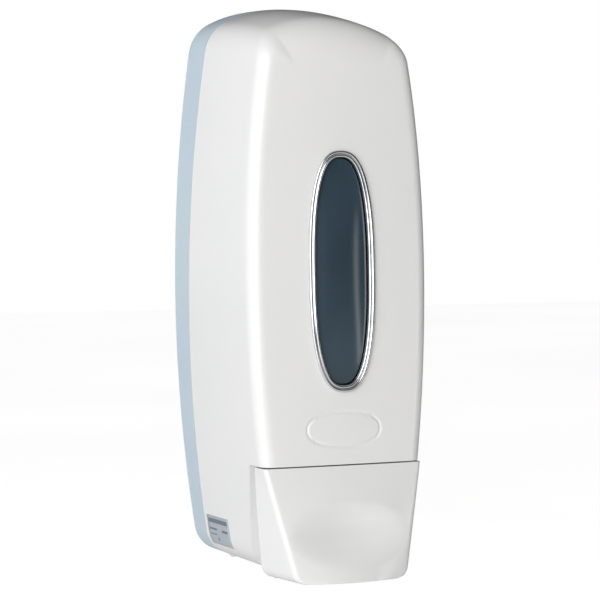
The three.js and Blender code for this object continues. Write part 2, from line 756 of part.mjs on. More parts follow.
// Solid between the panel's top and bottom, closed along its open rear. Extended for cutting.
function panelBody(inset, low, high) {
  const heights = [low];
  const count = 6;
  for (let i = 1; i <= 3; i++) heights.push(low + (panelCornerRadius * i) / 3);
  for (let i = 1; i <= count; i++) {
    const start = low + panelCornerRadius;
    heights.push(start + ((high - start) * i) / count);
  }
  const sections = heights.map((z) => panelSection(Math.max(z, panelBottom), inset));
  const sides = sections[0].length;
  const rows = heights.length + 2;
  const place = (u, v, target) => {
    const row = Math.round(v * (rows - 1));
    const index = Math.min(Math.max(row - 1, 0), heights.length - 1);
    const [x, d] = sections[index][Math.round(u * sides) % sides];
    const cap = row === 0 || row === rows - 1;
    target.set(cap ? 0 : x, cap ? -(cutDepth + panelCreaseDepthLow) / 2 : -d, heights[index]);
  };
  return solidFrom(new ParametricGeometry(place, sides, rows - 1));
}

// Dent for the fingers: a flattened ball pushed into the front.
function dentBall(grow) {
  const scale = 1 / Math.sqrt(1 - ((dentReach - dentDepth) / dentReach) ** 2);
  const geometry = new THREE.SphereGeometry(1, 20, 12);
  geometry.scale(dentHalfWidth * scale + grow, dentReach + grow, dentHalfHeight * scale + grow);
  geometry.translate(0, -(panelFace(dentHeight) + dentReach - dentDepth), dentHeight);
  return solidFrom(geometry);
}

// Sheet that follows the cover's side wall and lower corner from inside, up to the panel's front wall.
function sideSheet(side) {
  const outer = skin + skirtRoom;
  const corners = [[0, outer], [1, outer], [1, outer + skirtThickness], [0, outer + skirtThickness]];
  const near = stations.filter((s) => s.x > 0 && s.nx > skirtWrap && s.z < pivotHeight + 8 * pivotEye);
  const place = (u, v, target) => {
    const station = near[Math.round(u * (near.length - 1))];
    const [ahead, inset] = corners[Math.round(v * 4) % 4];
    const front = panelCreaseDepth(Math.min(Math.max(station.z, panelBottom), panelTop)) - panelSkin / 2;
    const depth = ahead ? front : skirtRear - sink;
    const edge = wallPoint(station, depth, inset);
    target.set(side * edge.x, -depth, edge.z);
  };
  return capped(place, near.length - 1);
}

function makePanel() {
  const outer = panelBody(0, panelBottom, panelTop).subtract(dentBall(0));
  const inner = panelBody(panelSkin, panelBottom - 2 * sink, panelTop - panelSkin);
  let panel = outer.subtract(inner.subtract(dentBall(panelSkin)));
  // skirts that run back inside the cover and up to the pivot
  const outline = new THREE.Shape();
  const front = panelCreaseDepthLow;
  outline.moveTo(front, panelTop - sink);
  outline.lineTo(pivotDepth + skirtNotch, panelTop + sink);
  outline.absarc(pivotDepth, pivotHeight, pivotEye, 0, Math.PI, false);
  outline.lineTo(skirtRear, panelTop - 2 * pivotEye);
  outline.lineTo(skirtRear + skirtSlope, skirtBottom);
  outline.lineTo(front, skirtBottom);
  const geometry = new THREE.ExtrudeGeometry(outline, { depth: 2 * halfWidth, bevelEnabled: false });
  // the shape's x is depth and its y is height, so it is turned to face sideways
  geometry.rotateX(Math.PI / 2);
  geometry.rotateZ(-Math.PI / 2);
  geometry.translate(halfWidth, 0, 0);
  const outlineSolid = solidFrom(geometry);
  for (const side of [-1, 1]) panel = panel.add(sideSheet(side).intersect(outlineSolid));
  // rib that presses the pump's head
  const padDepth = headDepth + headThickness + 2 * gap;
  const ribFront = panelFace(pumpHeight) - panelSkin / 2;
  const ribLow = [-ribHalfWidth, -ribFront, pumpHeight - ribHalfHeight];
  panel = panel.add(box(ribLow, [ribHalfWidth, -padDepth, pumpHeight + ribHalfHeight]));
  const bore = rod([-wide, -pivotDepth, pivotHeight], [wide, -pivotDepth, pivotHeight], pinHole);
  return panel.subtract(bore);
}

// ---- tank ------------------------------------------------------------------------

function makeTank() {
  const room = box([-wide, -tankFront, tankBottom], [wide, -tankRear, tankTop]);
  const roomInside = box(
    [-wide, -tankFront + tankSkin, tankBottom + tankSkin], [wide, -tankRear - tankSkin, tankTop - tankSkin]);
  const collar = [0, -mouthDepth, tankTop + mouthCollar];
  let tank = outerForm(tankInset).intersect(room);
  tank = tank.add(rod([0, -mouthDepth, tankTop - sink], collar, mouthRadius + mouthWall));
  tank = tank.add(rod([0, -pumpDepth, tankBottom + sink], [0, -pumpDepth, neckEnd], neckRadius));
  tank = tank.subtract(outerForm(tankInset + tankSkin).intersect(roomInside));
  tank = tank.subtract(rod([0, -mouthDepth, tankTop - past], [0, -mouthDepth, lidBase + past], mouthRadius));
  return tank.subtract(rod([0, -pumpDepth, tankBottom + past], [0, -pumpDepth, neckEnd - past], neckBore));
}

function makeLid() {
  const seal = sealThickness + 2 * gap;
  const plug = mouthRadius - gap;
  const top = seal + lidThickness;
  const profile = [
    [0, seal], [plug - lidPlug, seal], [plug - lidPlug, -mouthCollar], [plug, -mouthCollar], [plug, seal],
    [lidRadius, seal], [lidRadius, top - lidEdge], [lidRadius - lidEdge, top], [0, top],
  ];
  return turned(profile, [0, -mouthDepth, lidBase], [0, 0, 1], 28);
}

function ring(inner, outer, thickness, base, direction, sides = 20) {
  return turned([[inner, 0], [outer, 0], [outer, thickness], [inner, thickness]], base, direction, sides);
}

// ---- pump -------------------------------------------------------------------------

function makePumpBody() {
  const flangeX = postX + flangeRim;
  const flangeZ = postRise + flangeRim;
  const flange = box(
    [-flangeX, -cylinderRear, pumpHeight - flangeZ], [flangeX, -flangeRear, pumpHeight + flangeZ]);
  const upright = (low, high, radius, sides) => rod([0, -pumpDepth, low], [0, -pumpDepth, high], radius, sides);
  const barrel = rod([0, -flangeRear, pumpHeight], [0, -cylinderFront, pumpHeight], cylinderRadius, 24);
  const socket = upright(socketFloor - socketWall, neckEnd + socketDepth, socketInner + socketWall);
  const stem = upright(pumpHeight, socketFloor - sink, valveBore + stemWall);
  const outlet = upright(pumpHeight, outletEnd, nozzleRadius - nozzleWall);
  let body = union(flange, barrel, socket, stem, outlet);
  const boreRear = -cylinderRear - socketWall;
  body = body.subtract(rod([0, boreRear, pumpHeight], [0, -2 * wide, pumpHeight], boreRadius, 24));
  body = body.subtract(upright(socketFloor, neckEnd + 2 * past, socketInner));
  body = body.subtract(upright(valveSeat, socketFloor + sink, valveBore));
  body = body.subtract(upright(pumpHeight, valveSeat + sink, passage, 12));
  body = body.subtract(upright(pumpHeight, outletEnd - past, passage, 12));
  for (const [x, z] of posts) body = body.subtract(rod([x, 0, z], [x, -2 * wide, z], screwRadius + gap, 12));
  return body;
}

const valveSeat = pumpHeight + cylinderRadius + sink;

function makeCollar() {
  const inside = cylinderRadius + gap;
  const outside = inside + collarWall;
  const start = cylinderFront - collarGrip;
  const profile = [
    [inside, start], [outside, start], [outside, collarFront], [rodRadius + gap, collarFront],
    [rodRadius + gap, cylinderFront + gap], [inside, cylinderFront + gap],
  ];
  return turned(profile, [0, 0, pumpHeight], [0, -1, 0], 24);
}

function makePlunger() {
  const piston = boreRadius - gap;
  const groove = piston - sealGroove;
  const grooveRear = pistonDepth + pistonLength / 2 - sealGrooveHalf;
  const grooveFront = grooveRear + 2 * sealGrooveHalf;
  const headFront = headDepth + headThickness;
  const profile = [
    [0, pistonDepth], [piston, pistonDepth], [piston, grooveRear], [groove, grooveRear],
    [groove, grooveFront], [piston, grooveFront], [piston, pistonDepth + pistonLength],
    [rodRadius, pistonDepth + pistonLength], [rodRadius, headDepth], [headRadius, headDepth],
    [headRadius, headFront - headEdge], [headRadius - headEdge, headFront], [0, headFront],
  ];
  return turned(profile, [0, 0, pumpHeight], [0, -1, 0], 24);
}

function makePlungerSeal() {
  const inner = boreRadius - gap - sealGroove + gap / 2;
  const outer = boreRadius - sealPlay;
  const half = sealGrooveHalf - gap / 2;
  const base = [0, -(pistonDepth + pistonLength / 2 - half), pumpHeight];
  return ring(inner, outer, 2 * half, base, [0, -1, 0]);
}

// A coil spring with closed ends, wound along +Y or +Z.
function coil(radius, wire, length, turns, steps) {
  const points = [];
  const count = turns * steps;
  for (let i = 0; i <= count; i++) {
    const angle = (i * 2 * Math.PI) / steps;
    const climb = wire + (i / count) * (length - 2 * wire);
    points.push(new THREE.Vector3(radius * Math.cos(angle), radius * Math.sin(angle), climb));
  }
  const path = new THREE.CatmullRomCurve3(points);
  const section = new THREE.Shape();
  section.absarc(0, 0, wire, 0, 2 * Math.PI, false);
  const geometry = new THREE.ExtrudeGeometry(section, {
    steps: count, curveSegments: 2, extrudePath: path, bevelEnabled: false,
  });
  return geometry;
}

function makeReturnSpring() {
  const start = collarFront + gap;
  const end = headDepth - gap;
  const geometry = coil(springRadius, springWire, end - start, springTurns, 12);
  geometry.rotateX(Math.PI / 2);
  geometry.translate(0, -start, pumpHeight);
  return solidFrom(geometry);
}

function makeLatchSpring() {
  const geometry = coil(latchSpringRadius, latchSpringWire, latchSpringLength, springTurns, 8);
  geometry.translate(0, -latchRear - latchStem / 2, latchSeat + gap);
  return solidFrom(geometry);
}

function makeNozzle() {
  const top = pumpHeight - cylinderRadius - gap;
  const inner = nozzleRadius - nozzleWall + gap;
  const tip = nozzleRadius - nozzleTaper;
  const length = top - nozzleTip;
  const step = top - (outletEnd - gap) + lipRoom;
  const rim = nozzleRadius + nozzleRim;
  const profile = [
    [inner, 0], [rim, 0], [rim, nozzleRimHeight], [nozzleRadius, nozzleRimHeight + nozzleRimSlope],
    [tip, length], [tip - nozzleTipWall, length], [tip - nozzleTipWall, step], [inner, step],
  ];
  return turned(profile, [0, -pumpDepth, top], [0, 0, -1], 28);
}

// Silicone outlet valve: a small cup with a slit lip, seated in the nozzle.
function makeOutletValve() {
  const outer = nozzleRadius - nozzleWall;
  const profile = [
    [cupBore, 0], [outer, 0], [outer, cupHeight], [waistRadius, waistHeight], [lipRadius, lipHeight],
    [lipSlit, lipHeight], [waistBore, waistHeight],
  ];
  return turned(profile, [0, -pumpDepth, outletEnd - gap], [0, 0, -1], 20);
}

function makeInletValve() {
  const disc = valveBore - discPlay;
  const profile = [
    [0, -guideLength], [guideRadius, -guideLength], [guideRadius, 0], [disc, 0],
    [disc - discBevel, discEdge], [crownRadius, crownShoulder], [0, crownHeight],
  ];
  return turned(profile, [0, -pumpDepth, valveSeat + gap], [0, 0, 1], 20);
}

function makeScrew(x, z) {
  const start = flangeRear - screwReach;
  const head = cylinderRear + gap;
  const top = head + screwHeadHeight;
  const profile = [
    [0, start], [screwRadius, start + sink], [screwRadius, head], [screwHead, head],
    [screwHead, top - screwHeadDome], [screwHead - screwHeadRound, top], [0, top],
  ];
  const low = [x - screwHead, -top - past, z - screwSlotHalf];
  const slot = box(low, [x + screwHead, -top + screwSlotDepth, z + screwSlotHalf]);
  return turned(profile, [x, 0, z], [0, -1, 0], 12).subtract(slot);
}

// ---- label ---------------------------------------------------------------------

function makeLabel() {
  const steps = 6;
  const surface = (d, z, out) => {
    const edge = lowerSideX(z, d);
    return [-(edge + gap + out), -d, z];
  };
  const place = (u, v, target) => {
    const height = Math.round(u * steps) / steps;
    const z = bottomHeight + labelRise + labelHeight * height;
    const row = Math.round(v * 4) % 4;
    const d = jointDepth + labelAhead + (row === 0 || row === 3 ? 0 : labelLength);
    target.set(...surface(d, z, row < 2 ? 0 : labelThickness));
  };
  return capped(place, steps);
}

// Side of the form at a height, with the lower corner taken in.
function lowerSideX(z, depth) {
  const near = stations.filter((s) => s.x > 0 && s.nx > 0.3);
  for (let i = 0; i + 1 < near.length; i++) {
    const [a, b] = [near[i], near[i + 1]];
    if (z >= a.z && z <= b.z) {
      const t = (z - a.z) / (b.z - a.z);
      const nx = a.nx + (b.nx - a.nx) * t;
      return a.x + (b.x - a.x) * t - (nx * sideDraft * depth) / frontDepth;
    }
  }
  return sideHalfWidth(z, depth);
}

// A strip swept over u with four corners over v, closed at both ends.
function capped(place, steps) {
  const rows = steps + 2;
  const target = new THREE.Vector3();
  const ends = [0, 1].map((u) => {
    const middle = new THREE.Vector3();
    for (let i = 0; i < 4; i++) {
      place(u, i / 4, target);
      middle.addScaledVector(target, 0.25);
    }
    return middle;
  });
  const wrap = (u, v, out) => {
    const row = Math.round(v * rows);
    if (row === 0) out.copy(ends[0]);
    else if (row === rows) out.copy(ends[1]);
    else place((row - 1) / steps, u, out);
  };
  return solidFrom(new ParametricGeometry(wrap, 4, rows));
}

// ---- assembly --------------------------------------------------------------------

const finishes = {
  whiteGloss: { color: 0xeeeff0, roughness: 0.18, metalness: 0 },
  paleBlueGrey: { color: 0xc9d3dc, roughness: 0.3, metalness: 0 },
  chrome: { color: 0xd5d7da, roughness: 0.08, metalness: 1 },
  smoke: { color: 0x3c4c5a, roughness: 0.08, metalness: 0 },
  steel: { color: 0xb4b6b8, roughness: 0.3, metalness: 1 },
  milky: { color: 0xdfe3e2, roughness: 0.4, metalness: 0 },
  silicone: { color: 0xd8d4cc, roughness: 0.6, metalness: 0 },
  rubber: { color: 0x2c2d2e, roughness: 0.7, metalness: 0 },
  label: { color: 0xa9b3bb, roughness: 0.35, metalness: 0.2 },
};

const dispenser = new THREE.Group();

function addPiece(name, solid, finish) {
  const data = solid.getMesh();
  const geometry = new THREE.BufferGeometry();
  geometry.setAttribute('position', new THREE.BufferAttribute(new Float32Array(data.vertProperties), 3));
  geometry.setIndex(new THREE.BufferAttribute(new Uint32Array(data.triVerts), 1));
  geometry.computeVertexNormals();
  const mesh = new THREE.Mesh(geometry, new THREE.MeshStandardMaterial(finishes[finish]));
  mesh.name = name;
  dispenser.add(mesh);
}

const pivotPin = (side) => {
  const at = (x) => [side * x, -pivotDepth, pivotHeight];
  return rod(at(bossX - 2 * gap - skirtThickness - pivotPinProud), at(boreEnd - gap), pivotPinRadius);
};

const hingePin = (side) => rod(
  [side * (hingeX - pinReach), -hingeDepth, hingeHeight],
  [side * (hingeX + pinReach), -hingeDepth, hingeHeight], hingePinRadius);

addPiece('wall_plate', makeWallPlate(), 'paleBlueGrey');
addPiece('front_cover', makeCover(), 'whiteGloss');
addPiece('window_bezel', makeBezel(), 'chrome');
addPiece('window_lens', makeLens(), 'smoke');
addPiece('push_panel', makePanel(), 'whiteGloss');
addPiece('panel_pivot_pin_left', pivotPin(-1), 'steel');
addPiece('panel_pivot_pin_right', pivotPin(1), 'steel');
addPiece('cover_hinge_pin_left', hingePin(-1), 'steel');
addPiece('cover_hinge_pin_right', hingePin(1), 'steel');
addPiece('reservoir', makeTank(), 'milky');
addPiece('reservoir_lid', makeLid(), 'milky');
addPiece('lid_seal', ring(mouthRadius + gap / 2, mouthRadius + 2, sealThickness,
  [0, -mouthDepth, lidBase + gap], [0, 0, 1]), 'silicone');
addPiece('pump_body', makePumpBody(), 'milky');
addPiece('pump_collar', makeCollar(), 'whiteGloss');
addPiece('pump_plunger', makePlunger(), 'whiteGloss');
addPiece('plunger_seal', makePlungerSeal(), 'rubber');
addPiece('return_spring', makeReturnSpring(), 'steel');
addPiece('inlet_gasket', ring(neckBore + gasketInset, neckRadius, gasketThickness,
  [0, -pumpDepth, socketFloor + gap], [0, 0, 1]), 'silicone');
addPiece('inlet_valve', makeInletValve(), 'silicone');
addPiece('outlet_nozzle', makeNozzle(), 'milky');
addPiece('outlet_valve', makeOutletValve(), 'silicone');
addPiece('lock_latch', makeLatch(), 'whiteGloss');
addPiece('latch_spring', makeLatchSpring(), 'steel');
posts.forEach(([x, z], i) => addPiece(`pump_screw_${i + 1}`, makeScrew(x, z), 'steel'));
addPiece('side_label', makeLabel(), 'label');

export default dispenser;
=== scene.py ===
# Looks of a wall mounted soap dispenser: glossy cover, plated window ring, push panel, pale wall plate.
import json
import math

import bmesh
import bpy
from mathutils import Matrix, Vector


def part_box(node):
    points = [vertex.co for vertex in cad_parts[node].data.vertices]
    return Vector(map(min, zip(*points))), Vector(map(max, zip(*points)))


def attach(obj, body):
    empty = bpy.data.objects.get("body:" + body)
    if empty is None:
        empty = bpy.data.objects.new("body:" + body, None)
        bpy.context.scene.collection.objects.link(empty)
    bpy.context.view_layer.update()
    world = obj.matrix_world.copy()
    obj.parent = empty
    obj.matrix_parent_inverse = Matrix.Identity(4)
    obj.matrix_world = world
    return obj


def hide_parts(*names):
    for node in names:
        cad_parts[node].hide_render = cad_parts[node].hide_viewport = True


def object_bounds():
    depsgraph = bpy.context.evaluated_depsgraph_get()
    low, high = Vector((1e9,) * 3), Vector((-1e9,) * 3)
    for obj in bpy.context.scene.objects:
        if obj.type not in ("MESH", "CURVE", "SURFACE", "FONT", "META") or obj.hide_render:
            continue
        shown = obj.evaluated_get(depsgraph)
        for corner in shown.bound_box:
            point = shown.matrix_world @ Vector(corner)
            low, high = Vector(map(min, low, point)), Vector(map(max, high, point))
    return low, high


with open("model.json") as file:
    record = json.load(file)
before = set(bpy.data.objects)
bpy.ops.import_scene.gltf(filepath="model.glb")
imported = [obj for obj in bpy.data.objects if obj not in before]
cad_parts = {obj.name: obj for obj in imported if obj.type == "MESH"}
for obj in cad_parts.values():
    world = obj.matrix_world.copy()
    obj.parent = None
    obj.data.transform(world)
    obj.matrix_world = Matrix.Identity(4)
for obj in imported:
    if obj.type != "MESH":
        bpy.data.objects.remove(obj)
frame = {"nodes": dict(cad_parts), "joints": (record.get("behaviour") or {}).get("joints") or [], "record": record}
cadLow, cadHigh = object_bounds()
scene = bpy.context.scene
print("stage: frame loaded")

mm = 0.001


cameraView = {
    "azimuth": -24.4, "elevation": 1.70,
    "distance": 864 * mm,
    "lens": 131.8, "sensor": 36.0,
    "target": Vector((0, -36.4 * mm, 2.15 * mm)),
    "shiftX": -0.0057, "shiftY": -0.0393,
}


def directionTo(azimuth, elevation):
    a, e = math.radians(azimuth), math.radians(elevation)
    return Vector((math.sin(a) * math.cos(e), -math.cos(a) * math.cos(e), math.sin(e)))


def makeCamera(v):
    data = bpy.data.cameras.new("camera")
    data.lens, data.sensor_width = v["lens"], v["sensor"]
    data.shift_x, data.shift_y = v["shiftX"], v["shiftY"]
    data.clip_start, data.clip_end = 0.01, 50
    camera = bpy.data.objects.new("camera", data)
    away = directionTo(v["azimuth"], v["elevation"])
    camera.location = v["target"] + away * v["distance"]
    camera.rotation_euler = (-away).to_track_quat("-Z", "Y").to_euler()
    scene.collection.objects.link(camera)
    scene.camera = camera


lightSet = {
    # name: azimuth, elevation, distance, width, height, power, colour
    "keyLeft": (-60, 10, 0.62, 0.25, 1.1, 1.50, (0.955, 0.98, 1.0)),
    "creaseStrip": (-46, 6, 1.7, 0.16, 1.5, 3.0, (1.0, 1.0, 1.0)),
    "frontFill": (-36, 16, 1.6, 0.9, 1.2, 9.0, (1.0, 0.985, 0.955)),
    "lensStrip": (41, -4, 1.1, 0.10, 0.40, 0.30, (0.93, 0.97, 1.0)),
}


def makeLights(lights):
    centre = (cadLow + cadHigh) / 2
    for name, (azimuth, elevation, distance, width, height, power, colour) in lights.items():
        data = bpy.data.lights.new(name, "AREA")
        data.shape, data.size, data.size_y = "RECTANGLE", width, height
        data.energy, data.color = power, colour
        light = bpy.data.objects.new(name, data)
        away = directionTo(azimuth, elevation)
        light.location = centre + away * distance
        light.rotation_euler = (-away).to_track_quat("-Z", "Y").to_euler()
        scene.collection.objects.link(light)


roomLight = {
    "backdrop": (1.0, 1.0, 1.0, 1),
    "left": (0.93, 0.955, 1.0, 1), "middle": (0.84, 0.83, 0.82, 1), "right": (0.02, 0.02, 0.02, 1),
    "above": (0.58, 0.565, 0.575, 1), "middleAt": 0.40, "rightAt": 0.585,
    "strength": 0.60,
}


def makeRoom(v):
    world = bpy.data.worlds.new("room")
    scene.world = world
    world.use_nodes = True
    tree = world.node_tree
    tree.nodes.clear()
    coords = tree.nodes.new("ShaderNodeTexCoord")
    split = tree.nodes.new("ShaderNodeSeparateXYZ")
    tree.links.new(coords.outputs["Generated"], split.inputs[0])
    across = tree.nodes.new("ShaderNodeValToRGB")
    across.color_ramp.elements[0].position = 0.1
    across.color_ramp.elements[0].color = v["left"]
    across.color_ramp.elements[1].position = v["rightAt"]
    across.color_ramp.elements[1].color = v["right"]
    across.color_ramp.elements.new(v["middleAt"]).color = v["middle"]
    spread = tree.nodes.new("ShaderNodeMapRange")
    spread.inputs["From Min"].default_value, spread.inputs["From Max"].default_value = -1, 1
    tree.links.new(split.outputs["X"], spread.inputs["Value"])
    tree.links.new(spread.outputs["Result"], across.inputs["Fac"])
    upward = tree.nodes.new("ShaderNodeMapRange")
    upward.inputs["From Min"].default_value, upward.inputs["From Max"].default_value = 0.35, 0.9
    tree.links.new(split.outputs["Z"], upward.inputs["Value"])
    lid = tree.nodes.new("ShaderNodeMix")
    lid.data_type = "RGBA"
    lid.inputs[7].default_value = v["above"]
    tree.links.new(upward.outputs["Result"], lid.inputs["Factor"])
    tree.links.new(across.outputs["Color"], lid.inputs[6])
    glow = tree.nodes.new("ShaderNodeBackground")
    glow.inputs["Strength"].default_value = v["strength"]
    tree.links.new(lid.outputs[2], glow.inputs["Color"])
    plain = tree.nodes.new("ShaderNodeBackground")
    plain.inputs["Color"].default_value = v["backdrop"]
    path = tree.nodes.new("ShaderNodeLightPath")
    choose = tree.nodes.new("ShaderNodeMixShader")
    tree.links.new(path.outputs["Is Camera Ray"], choose.inputs["Fac"])
    tree.links.new(glow.outputs[0], choose.inputs[1])
    tree.links.new(plain.outputs[0], choose.inputs[2])
    out = tree.nodes.new("ShaderNodeOutputWorld")
    tree.links.new(choose.outputs[0], out.inputs["Surface"])


scene.view_settings.view_transform = "Standard"
scene.view_settings.look = "None"
makeCamera(cameraView)
makeLights(lightSet)
makeRoom(roomLight)
print("stage: camera and lights")


def newGroup(name, inputs, outputs):
    group = bpy.data.node_groups.new(name, "ShaderNodeTree")
    for socketName, kind, value in inputs:
        socket = group.interface.new_socket(socketName, in_out="INPUT", socket_type=kind)
        if value is not None:
            socket.default_value = value
    for socketName, kind in outputs:
        group.interface.new_socket(socketName, in_out="OUTPUT", socket_type=kind)
    return group, group.nodes.new("NodeGroupInput"), group.nodes.new("NodeGroupOutput")


def mathNode(tree, operation, a, b=None, clamp=False):
    node = tree.nodes.new("ShaderNodeMath")
    node.operation, node.use_clamp = operation, clamp
    for socket, value in zip(node.inputs, (a, b)):
        if value is None:
            continue
        if isinstance(value, (int, float)):
            socket.default_value = value
        else:
            tree.links.new(value, socket)
    return node.outputs[0]


def noiseNode(tree, vector, scale, detail, roughness=0.5):
    node = tree.nodes.new("ShaderNodeTexNoise")
    node.inputs["Detail"].default_value = detail
    node.inputs["Roughness"].default_value = roughness
    tree.links.new(vector, node.inputs["Vector"])
    if isinstance(scale, (int, float)):
        node.inputs["Scale"].default_value = scale
    else:
        tree.links.new(scale, node.inputs["Scale"])
    return node.outputs["Fac"]


# Moulded plastic: slow unevenness, fine grain, a little dust, and a lighter or darker tint.
def makeMouldedGroup():
    group, given, result = newGroup(
        "mouldedSurface",
        [("Vector", "NodeSocketVector", None), ("Wave Scale", "NodeSocketFloat", 22.0),
         ("Grain Scale", "NodeSocketFloat", 900.0), ("Grain", "NodeSocketFloat", 0.2),
         ("Light", "NodeSocketColor", None), ("Dark", "NodeSocketColor", None),
         ("Roughness", "NodeSocketFloat", 0.2), ("Roughness Spread", "NodeSocketFloat", 0.08)],
        [("Color", "NodeSocketColor"), ("Roughness", "NodeSocketFloat"), ("Height", "NodeSocketFloat")])
    wave = noiseNode(group, given.outputs["Vector"], given.outputs["Wave Scale"], 2.0)
    grain = noiseNode(group, given.outputs["Vector"], given.outputs["Grain Scale"], 3.0, 0.6)
    smears = noiseNode(group, given.outputs["Vector"], 130.0, 5.0, 0.65)
    tint = group.nodes.new("ShaderNodeMix")
    tint.data_type = "RGBA"
    spread = group.nodes.new("ShaderNodeMapRange")
    spread.inputs["From Min"].default_value, spread.inputs["From Max"].default_value = 0.3, 0.7
    group.links.new(wave, spread.inputs["Value"])
    group.links.new(spread.outputs["Result"], tint.inputs["Factor"])
    group.links.new(given.outputs["Light"], tint.inputs[6])
    group.links.new(given.outputs["Dark"], tint.inputs[7])
    group.links.new(tint.outputs[2], result.inputs["Color"])
    uneven = mathNode(group, "SUBTRACT", smears, 0.5)
    shift = mathNode(group, "MULTIPLY", uneven, given.outputs["Roughness Spread"])
    rough = mathNode(group, "ADD", given.outputs["Roughness"], shift, clamp=True)
    group.links.new(rough, result.inputs["Roughness"])
    fine = mathNode(group, "MULTIPLY", grain, given.outputs["Grain"])
    group.links.new(mathNode(group, "ADD", fine, wave), result.inputs["Height"])
    return group


# Drawn or plated metal: streaks along one axis.
def makeMetalGroup():
    group, given, result = newGroup(
        "drawnMetal",
        [("Vector", "NodeSocketVector", None), ("Stretch", "NodeSocketVector", (1.0, 1.0, 1.0)),
         ("Scale", "NodeSocketFloat", 400.0), ("Roughness", "NodeSocketFloat", 0.2),
         ("Roughness Spread", "NodeSocketFloat", 0.1), ("Light", "NodeSocketColor", None),
         ("Dark", "NodeSocketColor", None)],
        [("Color", "NodeSocketColor"), ("Roughness", "NodeSocketFloat"), ("Height", "NodeSocketFloat")])
    stretch = group.nodes.new("ShaderNodeVectorMath")
    stretch.operation = "MULTIPLY"
    group.links.new(given.outputs["Vector"], stretch.inputs[0])
    group.links.new(given.outputs["Stretch"], stretch.inputs[1])
    streaks = noiseNode(group, stretch.outputs[0], given.outputs["Scale"], 4.0, 0.6)
    stains = noiseNode(group, given.outputs["Vector"], 60.0, 3.0)
    tint = group.nodes.new("ShaderNodeMix")
    tint.data_type = "RGBA"
    group.links.new(stains, tint.inputs["Factor"])
    group.links.new(given.outputs["Light"], tint.inputs[6])
    group.links.new(given.outputs["Dark"], tint.inputs[7])
    group.links.new(tint.outputs[2], result.inputs["Color"])
    uneven = mathNode(group, "SUBTRACT", streaks, 0.5)
    shift = mathNode(group, "MULTIPLY", uneven, given.outputs["Roughness Spread"])
    rough = mathNode(group, "ADD", given.outputs["Roughness"], shift, clamp=True)
    group.links.new(rough, result.inputs["Roughness"])
    group.links.new(streaks, result.inputs["Height"])
    return group


# 1 inside a box in object space and 0 outside, with a soft edge.
def makeBarGroup():
    group, given, result = newGroup(
        "printedBar",
        [("Vector", "NodeSocketVector", None), ("Centre", "NodeSocketVector", (0.0, 0.0, 0.0)),
         ("Half", "NodeSocketVector", (1.0, 1.0, 1.0)), ("Soft", "NodeSocketFloat", 0.00015)],
        [("Mask", "NodeSocketFloat")])
    away = group.nodes.new("ShaderNodeVectorMath")
    away.operation = "SUBTRACT"
    group.links.new(given.outputs["Vector"], away.inputs[0])
    group.links.new(given.outputs["Centre"], away.inputs[1])
    size = group.nodes.new("ShaderNodeVectorMath")
    size.operation = "ABSOLUTE"
    group.links.new(away.outputs[0], size.inputs[0])
    room = group.nodes.new("ShaderNodeVectorMath")
    room.operation = "SUBTRACT"
    group.links.new(given.outputs["Half"], room.inputs[0])
    group.links.new(size.outputs[0], room.inputs[1])
    split = group.nodes.new("ShaderNodeSeparateXYZ")
    group.links.new(room.outputs[0], split.inputs[0])
    least = mathNode(group, "MINIMUM", split.outputs["Y"], split.outputs["Z"])
    share = mathNode(group, "DIVIDE", least, given.outputs["Soft"])
    group.links.new(mathNode(group, "ADD", share, 0.5, clamp=True), result.inputs["Mask"])
    return group


mouldedGroup = makeMouldedGroup()
metalGroup = makeMetalGroup()
barGroup = makeBarGroup()


def rgba(colour):
    return (*colour[:3], 1.0)


def startMaterial(name):
    material = bpy.data.materials.new(name)
    material.use_nodes = True
    tree = material.node_tree
    tree.nodes.clear()
    coords = tree.nodes.new("ShaderNodeTexCoord")
    shader = tree.nodes.new("ShaderNodeBsdfPrincipled")
    out = tree.nodes.new("ShaderNodeOutputMaterial")
    tree.links.new(shader.outputs["BSDF"], out.inputs["Surface"])
    return material, tree, coords.outputs["Object"], shader


def placeGroup(tree, group, values):
    node = tree.nodes.new("ShaderNodeGroup")
    node.node_tree = group
    for name, value in values.items():
        if hasattr(value, "links"):
            tree.links.new(value, node.inputs[name])
        else:
            node.inputs[name].default_value = value
    return node


def addBump(tree, shader, height, strength, distance):
    bump = tree.nodes.new("ShaderNodeBump")
    bump.inputs["Strength"].default_value = strength
    bump.inputs["Distance"].default_value = distance
    tree.links.new(height, bump.inputs["Height"])
    tree.links.new(bump.outputs["Normal"], shader.inputs["Normal"])


